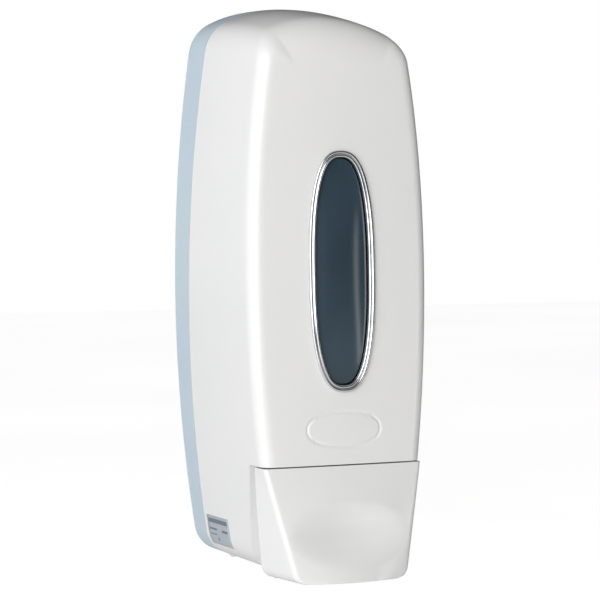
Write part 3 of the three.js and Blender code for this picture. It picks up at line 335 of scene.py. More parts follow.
# fixed sockets of the shader are set by name, so that each finish is one dictionary
plastics = {
    "coverWhite": {
        "light": (0.875, 0.872, 0.862), "dark": (0.85, 0.852, 0.85), "roughness": 0.2, "spread": 0.07,
        "wave": 14.0, "grain": 900.0, "grainShare": 0.05, "bump": 0.06, "bumpDistance": 0.0006,
        "fixed": {"IOR": 1.5, "Coat Weight": 0.35, "Coat Roughness": 0.08}},
    "plateGrey": {
        "light": (0.555, 0.66, 0.73), "dark": (0.515, 0.62, 0.70), "roughness": 0.33, "spread": 0.1,
        "wave": 20.0, "grain": 1400.0, "grainShare": 0.3, "bump": 0.08, "bumpDistance": 0.0004,
        "fixed": {"IOR": 1.5}},
    "tankMilky": {
        "light": (0.80, 0.815, 0.80), "dark": (0.73, 0.755, 0.745), "roughness": 0.36, "spread": 0.12,
        "wave": 30.0, "grain": 700.0, "grainShare": 0.3, "bump": 0.12, "bumpDistance": 0.0005,
        "fixed": {"IOR": 1.49, "Subsurface Weight": 0.35, "Subsurface Scale": 0.006}},
    "pumpWhite": {
        "light": (0.82, 0.82, 0.80), "dark": (0.77, 0.775, 0.76), "roughness": 0.4, "spread": 0.12,
        "wave": 60.0, "grain": 1600.0, "grainShare": 0.4, "bump": 0.1, "bumpDistance": 0.0003,
        "fixed": {"IOR": 1.48}},
    "siliconeClear": {
        "light": (0.74, 0.72, 0.69), "dark": (0.64, 0.62, 0.60), "roughness": 0.5, "spread": 0.15,
        "wave": 90.0, "grain": 1800.0, "grainShare": 0.6, "bump": 0.15, "bumpDistance": 0.0003,
        "fixed": {"IOR": 1.41, "Subsurface Weight": 0.4, "Subsurface Scale": 0.003}},
    "sealBlack": {
        "light": (0.045, 0.045, 0.046), "dark": (0.025, 0.025, 0.026), "roughness": 0.55, "spread": 0.2,
        "wave": 90.0, "grain": 2200.0, "grainShare": 0.8, "bump": 0.2, "bumpDistance": 0.0003,
        "fixed": {"IOR": 1.52}},
    "smokeLens": {
        "light": (0.040, 0.066, 0.088), "dark": (0.030, 0.050, 0.068), "roughness": 0.16, "spread": 0.05,
        "wave": 25.0, "grain": 900.0, "grainShare": 0.02, "bump": 0.02, "bumpDistance": 0.0006,
        "fixed": {"IOR": 1.49, "Coat Weight": 0.3, "Coat Roughness": 0.12}},
}

metals = {
    "chromePlate": {
        "light": (0.80, 0.81, 0.82), "dark": (0.70, 0.71, 0.73), "roughness": 0.09, "spread": 0.07,
        "stretch": (1.0, 1.0, 0.3), "scale": 500.0, "bump": 0.02, "bumpDistance": 0.0002},
    "springSteel": {
        "light": (0.62, 0.62, 0.61), "dark": (0.47, 0.47, 0.47), "roughness": 0.3, "spread": 0.2,
        "stretch": (1.0, 0.15, 1.0), "scale": 900.0, "bump": 0.1, "bumpDistance": 0.0002},
}


def makePlastic(name, v):
    material, tree, place, shader = startMaterial(name)
    surface = placeGroup(tree, mouldedGroup, {
        "Vector": place, "Wave Scale": v["wave"], "Grain Scale": v["grain"], "Grain": v["grainShare"],
        "Light": rgba(v["light"]), "Dark": rgba(v["dark"]), "Roughness": v["roughness"],
        "Roughness Spread": v["spread"]})
    tree.links.new(surface.outputs["Color"], shader.inputs["Base Color"])
    tree.links.new(surface.outputs["Roughness"], shader.inputs["Roughness"])
    addBump(tree, shader, surface.outputs["Height"], v["bump"], v["bumpDistance"])
    for socket, value in v["fixed"].items():
        shader.inputs[socket].default_value = value
    return material


def makeMetal(name, v):
    material, tree, place, shader = startMaterial(name)
    surface = placeGroup(tree, metalGroup, {
        "Vector": place, "Stretch": v["stretch"], "Scale": v["scale"], "Roughness": v["roughness"],
        "Roughness Spread": v["spread"], "Light": rgba(v["light"]), "Dark": rgba(v["dark"])})
    shader.inputs["Metallic"].default_value = 1.0
    tree.links.new(surface.outputs["Color"], shader.inputs["Base Color"])
    tree.links.new(surface.outputs["Roughness"], shader.inputs["Roughness"])
    addBump(tree, shader, surface.outputs["Height"], v["bump"], v["bumpDistance"])
    return material


labelPrint = {
    "film": (0.50, 0.56, 0.61), "filmDark": (0.44, 0.50, 0.56), "ink": (0.07, 0.085, 0.105),
    # bars: middle across and up, half width and half height, as shares of the label
    # from its rear lower corner
    "bars": [
        (0.50, 0.83, 0.44, 0.075), (0.24, 0.54, 0.17, 0.035), (0.78, 0.52, 0.14, 0.045),
        (0.24, 0.36, 0.15, 0.022), (0.42, 0.20, 0.03, 0.06),
    ],
    "inkStrength": 0.72,
}


# Silver film with plain bars in place of print.
def makeLabelMaterial(v):
    low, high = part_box("side_label")
    material, tree, place, shader = startMaterial("labelSilver")
    film = placeGroup(tree, metalGroup, {
        "Vector": place, "Stretch": (1.0, 1.0, 0.2), "Scale": 700.0, "Roughness": 0.34,
        "Roughness Spread": 0.12, "Light": rgba(v["film"]), "Dark": rgba(v["filmDark"])})
    mask = None
    for across, up, halfAcross, halfUp in v["bars"]:
        centre = (0, high.y + (low.y - high.y) * across, low.z + (high.z - low.z) * up)
        half = (1, (high.y - low.y) * halfAcross, (high.z - low.z) * halfUp)
        bar = placeGroup(tree, barGroup, {"Vector": place, "Centre": centre, "Half": half}).outputs["Mask"]
        mask = bar if mask is None else mathNode(tree, "MAXIMUM", mask, bar)
    ink = tree.nodes.new("ShaderNodeMix")
    ink.data_type = "RGBA"
    ink.inputs[7].default_value = rgba(v["ink"])
    tree.links.new(mathNode(tree, "MULTIPLY", mask, v["inkStrength"]), ink.inputs["Factor"])
    tree.links.new(film.outputs["Color"], ink.inputs[6])
    tree.links.new(ink.outputs[2], shader.inputs["Base Color"])
    tree.links.new(film.outputs["Roughness"], shader.inputs["Roughness"])
    shader.inputs["Metallic"].default_value = 0.25
    addBump(tree, shader, mask, 0.3, 0.00004)
    return material


finishes = {name: makePlastic(name, v) for name, v in plastics.items()}
finishes.update({name: makeMetal(name, v) for name, v in metals.items()})
finishes["labelSilver"] = makeLabelMaterial(labelPrint)
print("stage: materials")


# A grid of faces whose points are placed by a function of (across, along), each from 0 to 1.
def bentGrid(columns, rows, place):
    bm = bmesh.new()
    bmesh.ops.create_grid(bm, x_segments=columns, y_segments=rows, size=0.5)
    lowX, highX = min(v.co.x for v in bm.verts), max(v.co.x for v in bm.verts)
    lowY, highY = min(v.co.y for v in bm.verts), max(v.co.y for v in bm.verts)
    for v in bm.verts:
        v.co = place((v.co.x - lowX) / (highX - lowX), (v.co.y - lowY) / (highY - lowY))
    bmesh.ops.remove_doubles(bm, verts=bm.verts, dist=0.002 * mm)
    return bm


def faceOutwards(bm, centre):
    bmesh.ops.recalc_face_normals(bm, faces=bm.faces)
    outward = sum(f.normal.dot(f.calc_center_median() - centre) * f.calc_area() for f in bm.faces)
    if outward < 0:
        bmesh.ops.reverse_faces(bm, faces=bm.faces)


def finishPiece(name, bm, material, body, replaced=()):
    for f in bm.faces:
        f.smooth = True
    mesh = bpy.data.meshes.new(name)
    bm.to_mesh(mesh)
    bm.free()
    piece = bpy.data.objects.new(name, mesh)
    scene.collection.objects.link(piece)
    mesh.materials.append(finishes[material])
    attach(piece, body)
    if replaced:
        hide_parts(*replaced)
    return piece


def addShell(piece, thickness):
    shell = piece.modifiers.new("shell", "SOLIDIFY")
    shell.thickness, shell.offset, shell.use_even_offset = thickness, -1, True
    return shell


def addBevel(piece, width, segments=3, angle=35):
    bevel = piece.modifiers.new("bevel", "BEVEL")
    bevel.width, bevel.segments, bevel.profile = width, segments, 0.5
    bevel.limit_method, bevel.angle_limit = "ANGLE", math.radians(angle)
    bevel.harden_normals, bevel.use_clamp_overlap = True, True


# Cuts the bmesh cutter out of the piece, with the piece's modifiers applied first.
def cutFrom(piece, cutters):
    for bm in cutters:
        mesh = bpy.data.meshes.new("cutter")
        bm.to_mesh(mesh)
        bm.free()
        cutter = bpy.data.objects.new("cutter", mesh)
        scene.collection.objects.link(cutter)
        cut = piece.modifiers.new("cut", "BOOLEAN")
        cut.operation, cut.solver, cut.object = "DIFFERENCE", "EXACT", cutter
        settle(piece)
        bpy.data.objects.remove(cutter)
        bpy.data.meshes.remove(mesh)


def settle(piece):
    bpy.context.view_layer.update()
    graph = bpy.context.evaluated_depsgraph_get()
    made = bpy.data.meshes.new_from_object(piece.evaluated_get(graph))
    piece.modifiers.clear()
    old, piece.data = piece.data, made
    bpy.data.meshes.remove(old)


def boxMesh(low, high, bm=None, bevel=0.0):
    bm = bm or bmesh.new()
    low, high = Vector(low), Vector(high)
    made = bmesh.ops.create_cube(bm, size=1.0)
    bmesh.ops.scale(bm, vec=high - low, verts=made["verts"])
    bmesh.ops.translate(bm, vec=(low + high) / 2, verts=made["verts"])
    if bevel:
        edges = {e for v in made["verts"] for e in v.link_edges}
        bmesh.ops.bevel(bm, geom=list(edges), offset=bevel, offset_type="OFFSET", segments=2, profile=0.5,
                        affect="EDGES", material=-1, clamp_overlap=True)
    return bm


def rodMesh(start, end, radius, bm=None, sides=40, bevel=0.0, endRadius=None):
    bm = bm or bmesh.new()
    start, end = Vector(start), Vector(end)
    turn = (end - start).to_track_quat("Z", "Y").to_matrix().to_4x4()
    made = bmesh.ops.create_cone(
        bm, cap_ends=True, segments=sides, radius1=radius, radius2=endRadius or radius,
        depth=(end - start).length, matrix=Matrix.Translation((start + end) / 2) @ turn)
    if bevel:
        rims = {e for v in made["verts"] for e in v.link_edges
                if e.is_manifold and abs(e.calc_face_angle(0)) > math.radians(60)}
        bmesh.ops.bevel(bm, geom=list(rims), offset=bevel, offset_type="OFFSET", segments=3, profile=0.5,
                        affect="EDGES", material=-1, clamp_overlap=True)
    return bm


form = {
    "halfWidth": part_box("wall_plate")[1].x, "widestHeight": 3.6 * mm, "sideRadius": 636 * mm,
    "top": cadHigh.z, "topRadius": 56 * mm, "topCorner": 16 * mm,
    "bottom": -110 * mm, "bottomRadius": 400 * mm, "bottomCorner": 12.5 * mm,
    "frontDepth": 71.2 * mm, "frontLean": 0.037, "frontBulge": 0.6 * mm, "sideDraft": 2.9 * mm,
    "domeRadius": 225 * mm, "domePower": 3, "sideCrease": 5.2 * mm, "topCrease": 14 * mm,
    "bottomCrease": 3 * mm, "jointDepth": 13.6 * mm, "jointLean": 0.024, "gap": 0.3 * mm, "skin": 2.2 * mm,
    "seam": -68 * mm, "cutDepth": 60.9 * mm, "cutLean": 0.235,
    "steps": {"bottom": 10, "lowerCorner": 12, "side": 44, "upperCorner": 14, "top": 16},
}


# Centre of the corner arc that touches two larger arcs from inside.
def cornerCentre(first, firstRadius, second, secondRadius, radius, upwards):
    a, b = firstRadius - radius, secondRadius - radius
    line = second - first
    distance = line.length
    line = line.normalized()
    along = (a * a - b * b + distance * distance) / (2 * distance)
    aside = math.sqrt(a * a - along * along)
    foot = first + line * along
    across = Vector((-line.y, line.x))
    options = [foot + across * aside, foot - across * aside]
    return next(o for o in options if o.x > 0 and (o.y > 0) == upwards)


# Front outline at the wall as (x, z, normal x, normal z), anticlockwise from the bottom middle.
def outlineStations():
    side = Vector((form["halfWidth"] - form["sideRadius"], form["widestHeight"]))
    top = Vector((0, form["top"] - form["topRadius"]))
    bottom = Vector((0, form["bottom"] + form["bottomRadius"]))
    upper = cornerCentre(side, form["sideRadius"], top, form["topRadius"], form["topCorner"], True)
    lower = cornerCentre(side, form["sideRadius"], bottom, form["bottomRadius"], form["bottomCorner"], False)

    def angle(a, b):
        return math.atan2(b.y - a.y, b.x - a.x)

    lowerEnd, sideEnd = angle(side, lower), angle(side, upper)
    topEnd, bottomStart = angle(top, upper), angle(bottom, lower)
    steps = form["steps"]
    arcs = [
        (bottom, form["bottomRadius"], -math.pi / 2, bottomStart, steps["bottom"]),
        (lower, form["bottomCorner"], bottomStart, lowerEnd, steps["lowerCorner"]),
        (side, form["sideRadius"], lowerEnd, sideEnd, steps["side"]),
        (upper, form["topCorner"], sideEnd, topEnd, steps["upperCorner"]),
        (top, form["topRadius"], topEnd, math.pi / 2, steps["top"]),
    ]
    right = []
    for centre, radius, start, end, count in arcs:
        for i in range(count):
            a = start + (end - start) * i / count
            nx, nz = math.cos(a), math.sin(a)
            right.append((centre.x + radius * nx, centre.y + radius * nz, nx, nz))
    left = [(-x, z, -nx, nz) for x, z, nx, nz in reversed(right[1:])]
    return right + [(0, form["top"], 0, 1)] + left


stations = outlineStations()


def sideHalfWidth(z, depth):
    rise = z - form["widestHeight"]
    atWall = form["halfWidth"] - (form["sideRadius"] - math.sqrt(form["sideRadius"] ** 2 - rise * rise))
    return atWall - form["sideDraft"] * depth / form["frontDepth"]


def jointAt(z):
    return form["jointDepth"] + form["jointLean"] * z


def frontAt(x, z):
    crease = sideHalfWidth(z, form["frontDepth"]) - form["sideCrease"] / 2
    return form["frontDepth"] - form["frontLean"] * z + form["frontBulge"] * (1 - (x / crease) ** 2)


def wallPoint(station, depth, inset=0.0):
    x, z, nx, nz = station
    dome = form["domeRadius"] - math.sqrt(form["domeRadius"] ** 2 - depth * depth)
    lean = form["sideDraft"] * depth / form["frontDepth"]
    share = max(0.0, z / form["top"]) ** form["domePower"]
    return x - nx * (inset + lean), z - nz * inset - share * dome


# Where a station's side wall meets the front: leg of the crease, depth, sharp corner and inner end.
def creaseOf(station, inset=0.0):
    x, z, nx, nz = station
    end = form["topCrease"] if nz > 0 else form["bottomCrease"]
    leg = max(form["sideCrease"] + (end - form["sideCrease"]) * nz * nz - inset / 2, mm)
    depth = form["frontDepth"]
    for _ in range(6):
        depth = frontAt(*wallPoint(station, depth, inset)) - inset
    sharpX, sharpZ = wallPoint(station, depth, inset)
    return leg, depth, (sharpX, sharpZ), (sharpX - nx * leg, sharpZ - nz * leg)


def bezier(a, b, c, t):
    return (1 - t) ** 2 * a + 2 * t * (1 - t) * b + t * t * c


def creasePoint(station, crease, t, inset=0.0):
    leg, depth, sharp, inner = crease
    startX, startZ = wallPoint(station, depth - leg, inset)
    innerDepth = frontAt(*inner) - inset
    return Vector((bezier(startX, sharp[0], inner[0], t), -bezier(depth - leg, depth, innerDepth, t),
                   bezier(startZ, sharp[1], inner[1], t)))


def ovalPoint(angle, halfX, halfZ, power):
    c, s = math.cos(angle), math.sin(angle)
    return (math.copysign(halfX * abs(c) ** (2 / power), c), math.copysign(halfZ * abs(s) ** (2 / power), s))


bezelLow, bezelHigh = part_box("window_bezel")
lensLow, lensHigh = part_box("window_lens")

window = {
    "height": (bezelLow.z + bezelHigh.z) / 2, "halfX": bezelHigh.x, "halfZ": (bezelHigh.z - bezelLow.z) / 2,
    "power": 2.6, "holeInset": 1.2 * mm, "steps": 160,
}

cover = {
    "wallRows": 12, "creaseRows": 10, "frontRows": 20, "edgeRadius": 0.5 * mm, "cutEdge": 3.5 * mm,
    "ovalHeight": -54.7 * mm, "ovalHalfX": 15.2 * mm, "ovalHalfZ": 6.4 * mm, "ovalPower": 2.3,
    "grooveDepth": 0.35 * mm, "grooveHalf": 0.5 * mm, "grooveCuts": 5,
    "ovalRim": 2.5 * mm, "frontRoom": 5 * mm,
    "keyDepth": 25 * mm, "keyWidth": 2.6 * mm, "keyLength": 4.6 * mm, "keyRoom": 12 * mm,
    "spoutHalf": 10 * mm, "spoutRear": 33.2 * mm, "spoutReach": 150 * mm,
    "past": 5 * mm, "cutRoom": 4 * mm, "seamRoom": 1 * mm, "near": 0.05 * mm, "merge": 0.01 * mm,
}


# Distance of a front point from the oval line under the window.
def ovalDistance(x, z):
    a, b, p = cover["ovalHalfX"], cover["ovalHalfZ"], cover["ovalPower"]
    x, z = abs(x), abs(z - cover["ovalHeight"])
    size = ((x / a) ** p + (z / b) ** p) ** (1 / p)
    if size < 0.2:
        return 1.0
    slope = size ** (1 - p) * math.hypot(x ** (p - 1) / a ** p, z ** (p - 1) / b ** p)
    return (size - 1) / slope


def makeCoverSkin():
    creases = [creaseOf(s) for s in stations]
    rows = cover["wallRows"] + cover["creaseRows"] + cover["frontRows"]
    holeX, holeZ = window["halfX"] - window["holeInset"], window["halfZ"] - window["holeInset"]

    def place(across, along):
        i = round(across * len(stations)) % len(stations)
        station, crease = stations[i], creases[i]
        leg, depth, sharp, inner = crease
        row = round(along * rows)
        if row <= cover["wallRows"]:
            rear = jointAt(station[1]) + form["gap"] / 2
            d = rear + (depth - leg - rear) * row / cover["wallRows"]
            x, z = wallPoint(station, d)
            return Vector((x, -d, z))
        row -= cover["wallRows"]
        if row <= cover["creaseRows"]:
            return creasePoint(station, crease, row / cover["creaseRows"])
        k = (row - cover["creaseRows"]) / cover["frontRows"]
        angle = math.atan2((inner[1] - window["height"]) / form["top"], inner[0] / form["halfWidth"])
        holePoint = ovalPoint(angle, holeX, holeZ, window["power"])
        x = inner[0] + (holePoint[0] - inner[0]) * k
        z = inner[1] + (holePoint[1] + window["height"] - inner[1]) * k
        return Vector((x, -frontAt(x, z), z))

    bm = bentGrid(len(stations), rows, place)
    faceOutwards(bm, Vector((0, -0.03, 0)))
    return bm


# Presses the oval line into the front, on a finer patch of faces.
def pressOval(bm):
    def near(f):
        c = f.calc_center_median()
        across = abs(c.x) < cover["ovalHalfX"] + cover["ovalRim"]
        upward = abs(c.z - cover["ovalHeight"]) < cover["ovalHalfZ"] + cover["ovalRim"]
        return across and upward and -c.y > form["frontDepth"] - cover["frontRoom"]

    edges = {e for f in bm.faces if near(f) for e in f.edges}
    made = bmesh.ops.subdivide_edges(bm, edges=list(edges), cuts=cover["grooveCuts"], use_grid_fill=True)
    for v in {g for g in made["geom"] if isinstance(g, bmesh.types.BMVert)}:
        distance = abs(ovalDistance(v.co.x, v.co.z)) / cover["grooveHalf"]
        v.co.y = -frontAt(v.co.x, v.co.z) + cover["grooveDepth"] * math.exp(-distance * distance)


# The leaning cut in the cover's sides, as a point and a normal that looks forwards.
def cutPlane():
    return Vector((0, -form["cutDepth"], form["seam"])), Vector((0, -1, -form["cutLean"])).normalized()


# Opens the space that the push panel fills: below the seam and ahead of the leaning cut.
def openForPanel(bm):
    seam = Vector((0, 0, form["seam"]))
    cutPoint, cutNormal = cutPlane()

    def ahead(f):
        return (f.calc_center_median() - cutPoint).dot(cutNormal) > -cover["cutRoom"]

    faces = [f for f in bm.faces if ahead(f)]
    geom = list({g for f in faces for g in (*f.verts, *f.edges)}) + faces
    bmesh.ops.bisect_plane(bm, geom=geom, plane_co=seam, plane_no=(0, 0, 1), dist=cover["merge"])
    faces = [f for f in bm.faces if f.calc_center_median().z < form["seam"]]
    geom = list({g for f in faces for g in (*f.verts, *f.edges)}) + faces
    bmesh.ops.bisect_plane(bm, geom=geom, plane_co=cutPoint, plane_no=cutNormal, dist=cover["merge"])
    gone = [f for f in bm.faces if f.calc_center_median().z < form["seam"]
            and (f.calc_center_median() - cutPoint).dot(cutNormal) > 0]
    bmesh.ops.delete(bm, geom=gone, context="FACES")


def makeCover():
    bm = makeCoverSkin()
    pressOval(bm)
    openForPanel(bm)
    cutPoint, cutNormal = cutPlane()
    bm.verts.index_update()
    onCut = [v.index for v in bm.verts if v.co.z < form["seam"] - cover["seamRoom"]
             and abs((v.co - cutPoint).dot(cutNormal)) < cover["near"]]
    count = len(bm.verts)
    piece = finishPiece("front_cover_shell", bm, "coverWhite", "cover", ["front_cover"])
    # the wall is thicker along the edge that the push panel meets
    wall = piece.vertex_groups.new(name="wall")
    wall.add(list(range(count)), form["skin"] / cover["cutEdge"], "REPLACE")
    wall.add(onCut, 1.0, "REPLACE")
    addShell(piece, cover["cutEdge"]).vertex_group = "wall"
    past = cover["past"]
    spoutWay = boxMesh((-cover["spoutHalf"], -cover["spoutReach"], form["bottom"] - past),
                       (cover["spoutHalf"], -cover["spoutRear"], form["bottom"] + past))
    halfX, halfY, keyY = cover["keyWidth"] / 2, cover["keyLength"] / 2, -cover["keyDepth"]
    keySlot = boxMesh((-halfX, keyY - halfY, form["top"] - cover["keyRoom"]),
                      (halfX, keyY + halfY, form["top"] + past))
    cutFrom(piece, [spoutWay, keySlot])
    addBevel(piece, cover["edgeRadius"])


makeCover()
print("stage: cover")


bezel = {
    "width": 2.7 * mm, "lip": 1.5 * mm, "proud": 1.2 * mm, "reach": 3 * mm, "curve": 6, "lift": 0.2,
    # lips: how far in from the rim, half width and rise
    "outerLip": (0.62 * mm, 0.62 * mm, 0.45 * mm), "innerLip": (1.95 * mm, 0.6 * mm, 0.5 * mm),
}


# A closed ring: section points are (outward offset, height above the front), swept round the window.
def sweptRing(section, halfX, halfZ):
    steps = window["steps"]

    def place(across, along):
        out, up = section[round(along * len(section)) % len(section)]
        angle = 2 * math.pi * (round(across * steps) % steps) / steps
        x, z = ovalPoint(angle, halfX + out, halfZ + out, window["power"])
        z += window["height"]
        return Vector((x, -(frontAt(x, z) + up), z))

    return bentGrid(steps, len(section), place)


def arcPoints(centre, radiusX, radiusY, start, end, count):
    angles = [math.radians(start + (end - start) * i / count) for i in range(count + 1)]
    return [(centre[0] + radiusX * math.cos(a), centre[1] + radiusY * math.sin(a)) for a in angles]


def makeBezel():
    v, gap = bezel, form["gap"]

    def lipArc(away, half, rise):
        return arcPoints((-away, v["proud"] - rise), half, rise, 0, 180, v["curve"])

    section = [(-v["lip"], -v["reach"]), (-v["lip"], gap * v["lift"]), (0, gap * v["lift"]),
               *lipArc(*v["outerLip"]), *lipArc(*v["innerLip"]), (-v["width"], 0), (-v["width"], -v["reach"])]
    bm = sweptRing(section, window["halfX"], window["halfZ"])
    bmesh.ops.recalc_face_normals(bm, faces=bm.faces)
    return finishPiece("window_bezel_ring", bm, "chromePlate", "cover", ["window_bezel"])


lens = {"rings": 18, "dome": 1.3 * mm, "low": -2.6 * mm, "high": -0.6 * mm, "edge": 0.25 * mm}


def makeLens():
    halfX, halfZ = lensHigh.x, (lensHigh.z - lensLow.z) / 2
    steps, rings = window["steps"], lens["rings"]

    # from the middle of the face out to the rim, down its edge, and back under it to the middle
    def place(across, along):
        row = round(along * (2 * rings + 1))
        top = row <= rings
        k = row / rings if top else (2 * rings + 1 - row) / rings
        angle = 2 * math.pi * (round(across * steps) % steps) / steps
        x, z = ovalPoint(angle, halfX * k, halfZ * k, window["power"])
        z += window["height"]
        up = lens["high"] + lens["dome"] * (1 - k * k) if top else lens["low"]
        return Vector((x, -(frontAt(x, z) + up), z))

    bm = bentGrid(steps, 2 * rings + 1, place)
    bmesh.ops.recalc_face_normals(bm, faces=bm.faces)
    piece = finishPiece("window_lens_dome", bm, "smokeLens", "cover", ["window_lens"])
    addBevel(piece, lens["edge"])


makeBezel()
makeLens()
print("stage: window")


panelLow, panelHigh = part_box("push_panel")

panel = {
    "top": form["seam"] - 0.5 * mm, "bottom": panelLow.z,
    "rearGapTop": 4.6 * mm, "rearGapLow": 8.1 * mm, "skin": 2.2 * mm,
    "creaseWide": 32.9 * mm, "creaseNarrow": 23 * mm,
    "creaseDepthTop": 73.8 * mm, "creaseDepthLow": 81.7 * mm,
    "crownTop": 0.8 * mm, "crownLow": 3 * mm, "crease": 1.9 * mm, "corner": 4 * mm, "cornerCut": 0.8,
    "dentHeight": -94 * mm, "dentHalfX": 22 * mm, "dentHalfZ": 11 * mm, "dentDepth": 3.4 * mm,
    "dentReach": 1.15, "dentPower": 1.6, "edgeRadius": 0.5 * mm,
    "frontColumns": 40, "creaseColumns": 8, "sideColumns": 6, "rows": 56, "topRows": 6,
}


def panelMix(z, atTop, atBottom):
    return atTop + (atBottom - atTop) * (panel["top"] - z) / (panel["top"] - panel["bottom"])


def dentAt(x, z):
    away = math.hypot(x / panel["dentHalfX"], (z - panel["dentHeight"]) / panel["dentHalfZ"])
    if away >= panel["dentReach"]:
        return 0.0
    k = away / panel["dentReach"]
    return panel["dentDepth"] * (1 - k * k) ** panel["dentPower"]


# A point of the panel's level section: share is 0 on the middle line, 1 at the rear edge.
def panelPoint(share, side, z):
    rear = form["cutDepth"] + form["cutLean"] * (z - form["seam"])
    rear += panelMix(z, panel["rearGapTop"], panel["rearGapLow"])
    creaseX = panelMix(z, panel["creaseWide"], panel["creaseNarrow"])
    creaseDepth = panelMix(z, panel["creaseDepthTop"], panel["creaseDepthLow"])
    crown = panelMix(z, panel["crownTop"], panel["crownLow"])
    rearX = sideHalfWidth(z, rear)

    def crownAt(x):
        return creaseDepth + crown * (1 - (x / creaseX) ** 2)

    alongSide = Vector((creaseX - rearX, creaseDepth - rear)).normalized()
    start = (creaseX - alongSide.x * panel["crease"], creaseDepth - alongSide.y * panel["crease"])
    end = (creaseX - panel["crease"], crownAt(creaseX - panel["crease"]))
    columns = panel["frontColumns"], panel["creaseColumns"], panel["sideColumns"]
    step = share * sum(columns)
    if step <= columns[0]:
        x = end[0] * step / columns[0]
        depth = crownAt(x)
    elif step <= columns[0] + columns[1]:
        t = 1 - (step - columns[0]) / columns[1]
        x, depth = bezier(start[0], creaseX, end[0], t), bezier(start[1], creaseDepth, end[1], t)
    else:
        t = (step - columns[0] - columns[1]) / columns[2]
        x, depth = start[0] + (rearX - start[0]) * t, start[1] + (rear - start[1]) * t
    low = z - panel["bottom"]
    if low < panel["corner"]:
        drop = panel["corner"] - math.sqrt(max(0.0, panel["corner"] ** 2 - (panel["corner"] - low) ** 2))
        x -= x * drop / rearX
        rear += drop * panel["cornerCut"]
        depth = max(depth, rear)
    return side * x, depth - dentAt(x, z), rear


def makePanel():
    half = panel["frontColumns"] + panel["creaseColumns"] + panel["sideColumns"]
    rows = panel["rows"] + panel["topRows"]

    def place(across, along):
        column = round(across * 2 * half) - half
        row = round(along * rows)
        z = panel["bottom"] + (panel["top"] - panel["bottom"]) * min(row / panel["rows"], 1)
        x, depth, rear = panelPoint(abs(column) / half, math.copysign(1, column), z)
        k = 1 - max(0, row - panel["rows"]) / panel["topRows"]
        return Vector((x * k, -(rear + (depth - rear) * k), z))

    bm = bentGrid(2 * half, rows, place)
    faceOutwards(bm, Vector((0, -0.055, -0.09)))
    piece = finishPiece("push_panel_shell", bm, "coverWhite", "panel", ["push_panel"])
    addShell(piece, panel["skin"])
    settle(piece)
    # the wall ends level at the bottom
    for v in piece.data.vertices:
        v.co.z = max(v.co.z, panel["bottom"])
    addBevel(piece, panel["edgeRadius"])


pivot = next(j for j in frame["joints"] if j["name"] == "panel_pivot")["pos_m"]

skirt = {
    "inset": 4.2 * mm, "thickness": 2 * mm, "rear": 43 * mm, "bottom": -103.4 * mm, "eye": 4 * mm,
    "pinHole": 2.3 * mm, "drill": 60 * mm, "slices": 40, "edgeRadius": 0.3 * mm,
    "behindFace": 1.5 * mm, "topDrop": 0.6 * mm, "shoulder": 6 * mm, "shoulderRise": 1 * mm,
    "rearDrop": 8 * mm, "rearSlope": 7 * mm, "frontTuck": 2.5 * mm,
    "ribHalf": 5 * mm, "ribHigh": 1.5 * mm, "ribRoom": 0.6 * mm,
}


# Half width inside the outer form at a height and a depth, with the lower corner taken in.
def insideX(z, depth, inset):
    near = [wallPoint(s, depth, inset) for s in stations if s[0] > 0 and s[2] > 0.3]
    for a, b in zip(near, near[1:]):
        if a[1] <= z <= b[1]:
            return a[0] + (b[0] - a[0]) * (z - a[1]) / (b[1] - a[1])
    return near[0][0]


# One side skirt: the side outline as a face, sliced level by level so that it can follow the cover's wall.
def makeSkirts():
    bm = bmesh.new()
    pivotDepth, pivotHeight = -pivot[1], pivot[2]
    top, low, rear, behind = panel["top"], skirt["bottom"], skirt["rear"], skirt["behindFace"]
    outline = [(panel["creaseDepthTop"] - behind, top - skirt["topDrop"]),
               (pivotDepth + skirt["shoulder"], top + skirt["shoulderRise"]),
               *arcPoints((pivotDepth, pivotHeight), skirt["eye"], skirt["eye"], 0, 180, 15),
               (rear, top - skirt["rearDrop"]), (rear + skirt["rearSlope"], low),
               (panel["creaseDepthLow"] - behind - skirt["frontTuck"], low)]
    for side in (-1, 1):
        verts = [bm.verts.new((side, -depth, z)) for depth, z in outline]
        bm.faces.new(verts)
    for i in range(1, skirt["slices"]):
        level = skirt["bottom"] + (pivotHeight - skirt["bottom"]) * i / skirt["slices"]
        geom = [*bm.verts, *bm.edges, *bm.faces]
        bmesh.ops.bisect_plane(bm, geom=geom, plane_co=(0, 0, level), plane_no=(0, 0, 1), dist=0.001 * mm)
    for v in bm.verts:
        v.co.x = math.copysign(insideX(v.co.z, -v.co.y, skirt["inset"]), v.co.x)
    for f in bm.faces:
        if f.normal.x * f.calc_center_median().x < 0:
            f.normal_flip()
    piece = finishPiece("push_panel_skirts", bm, "coverWhite", "panel")
    addShell(piece, skirt["thickness"])
    reach = skirt["drill"]
    cutFrom(piece, [rodMesh((-reach, pivot[1], pivot[2]), (reach, pivot[1], pivot[2]), skirt["pinHole"])])
    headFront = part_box("pump_plunger")[0].y
    height = (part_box("pump_plunger")[0].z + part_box("pump_plunger")[1].z) / 2
    face = panelMix(height, panel["creaseDepthTop"], panel["creaseDepthLow"])
    bm = bmesh.new()
    bm.from_mesh(piece.data)
    boxMesh((-skirt["ribHalf"], -face, height - skirt["ribHigh"]),
            (skirt["ribHalf"], headFront - skirt["ribRoom"], height + skirt["ribHigh"]), bm)
    for f in bm.faces:
        f.smooth = True
    bm.to_mesh(piece.data)
    bm.free()
    addBevel(piece, skirt["edgeRadius"])


makePanel()
makeSkirts()
print("stage: push panel")


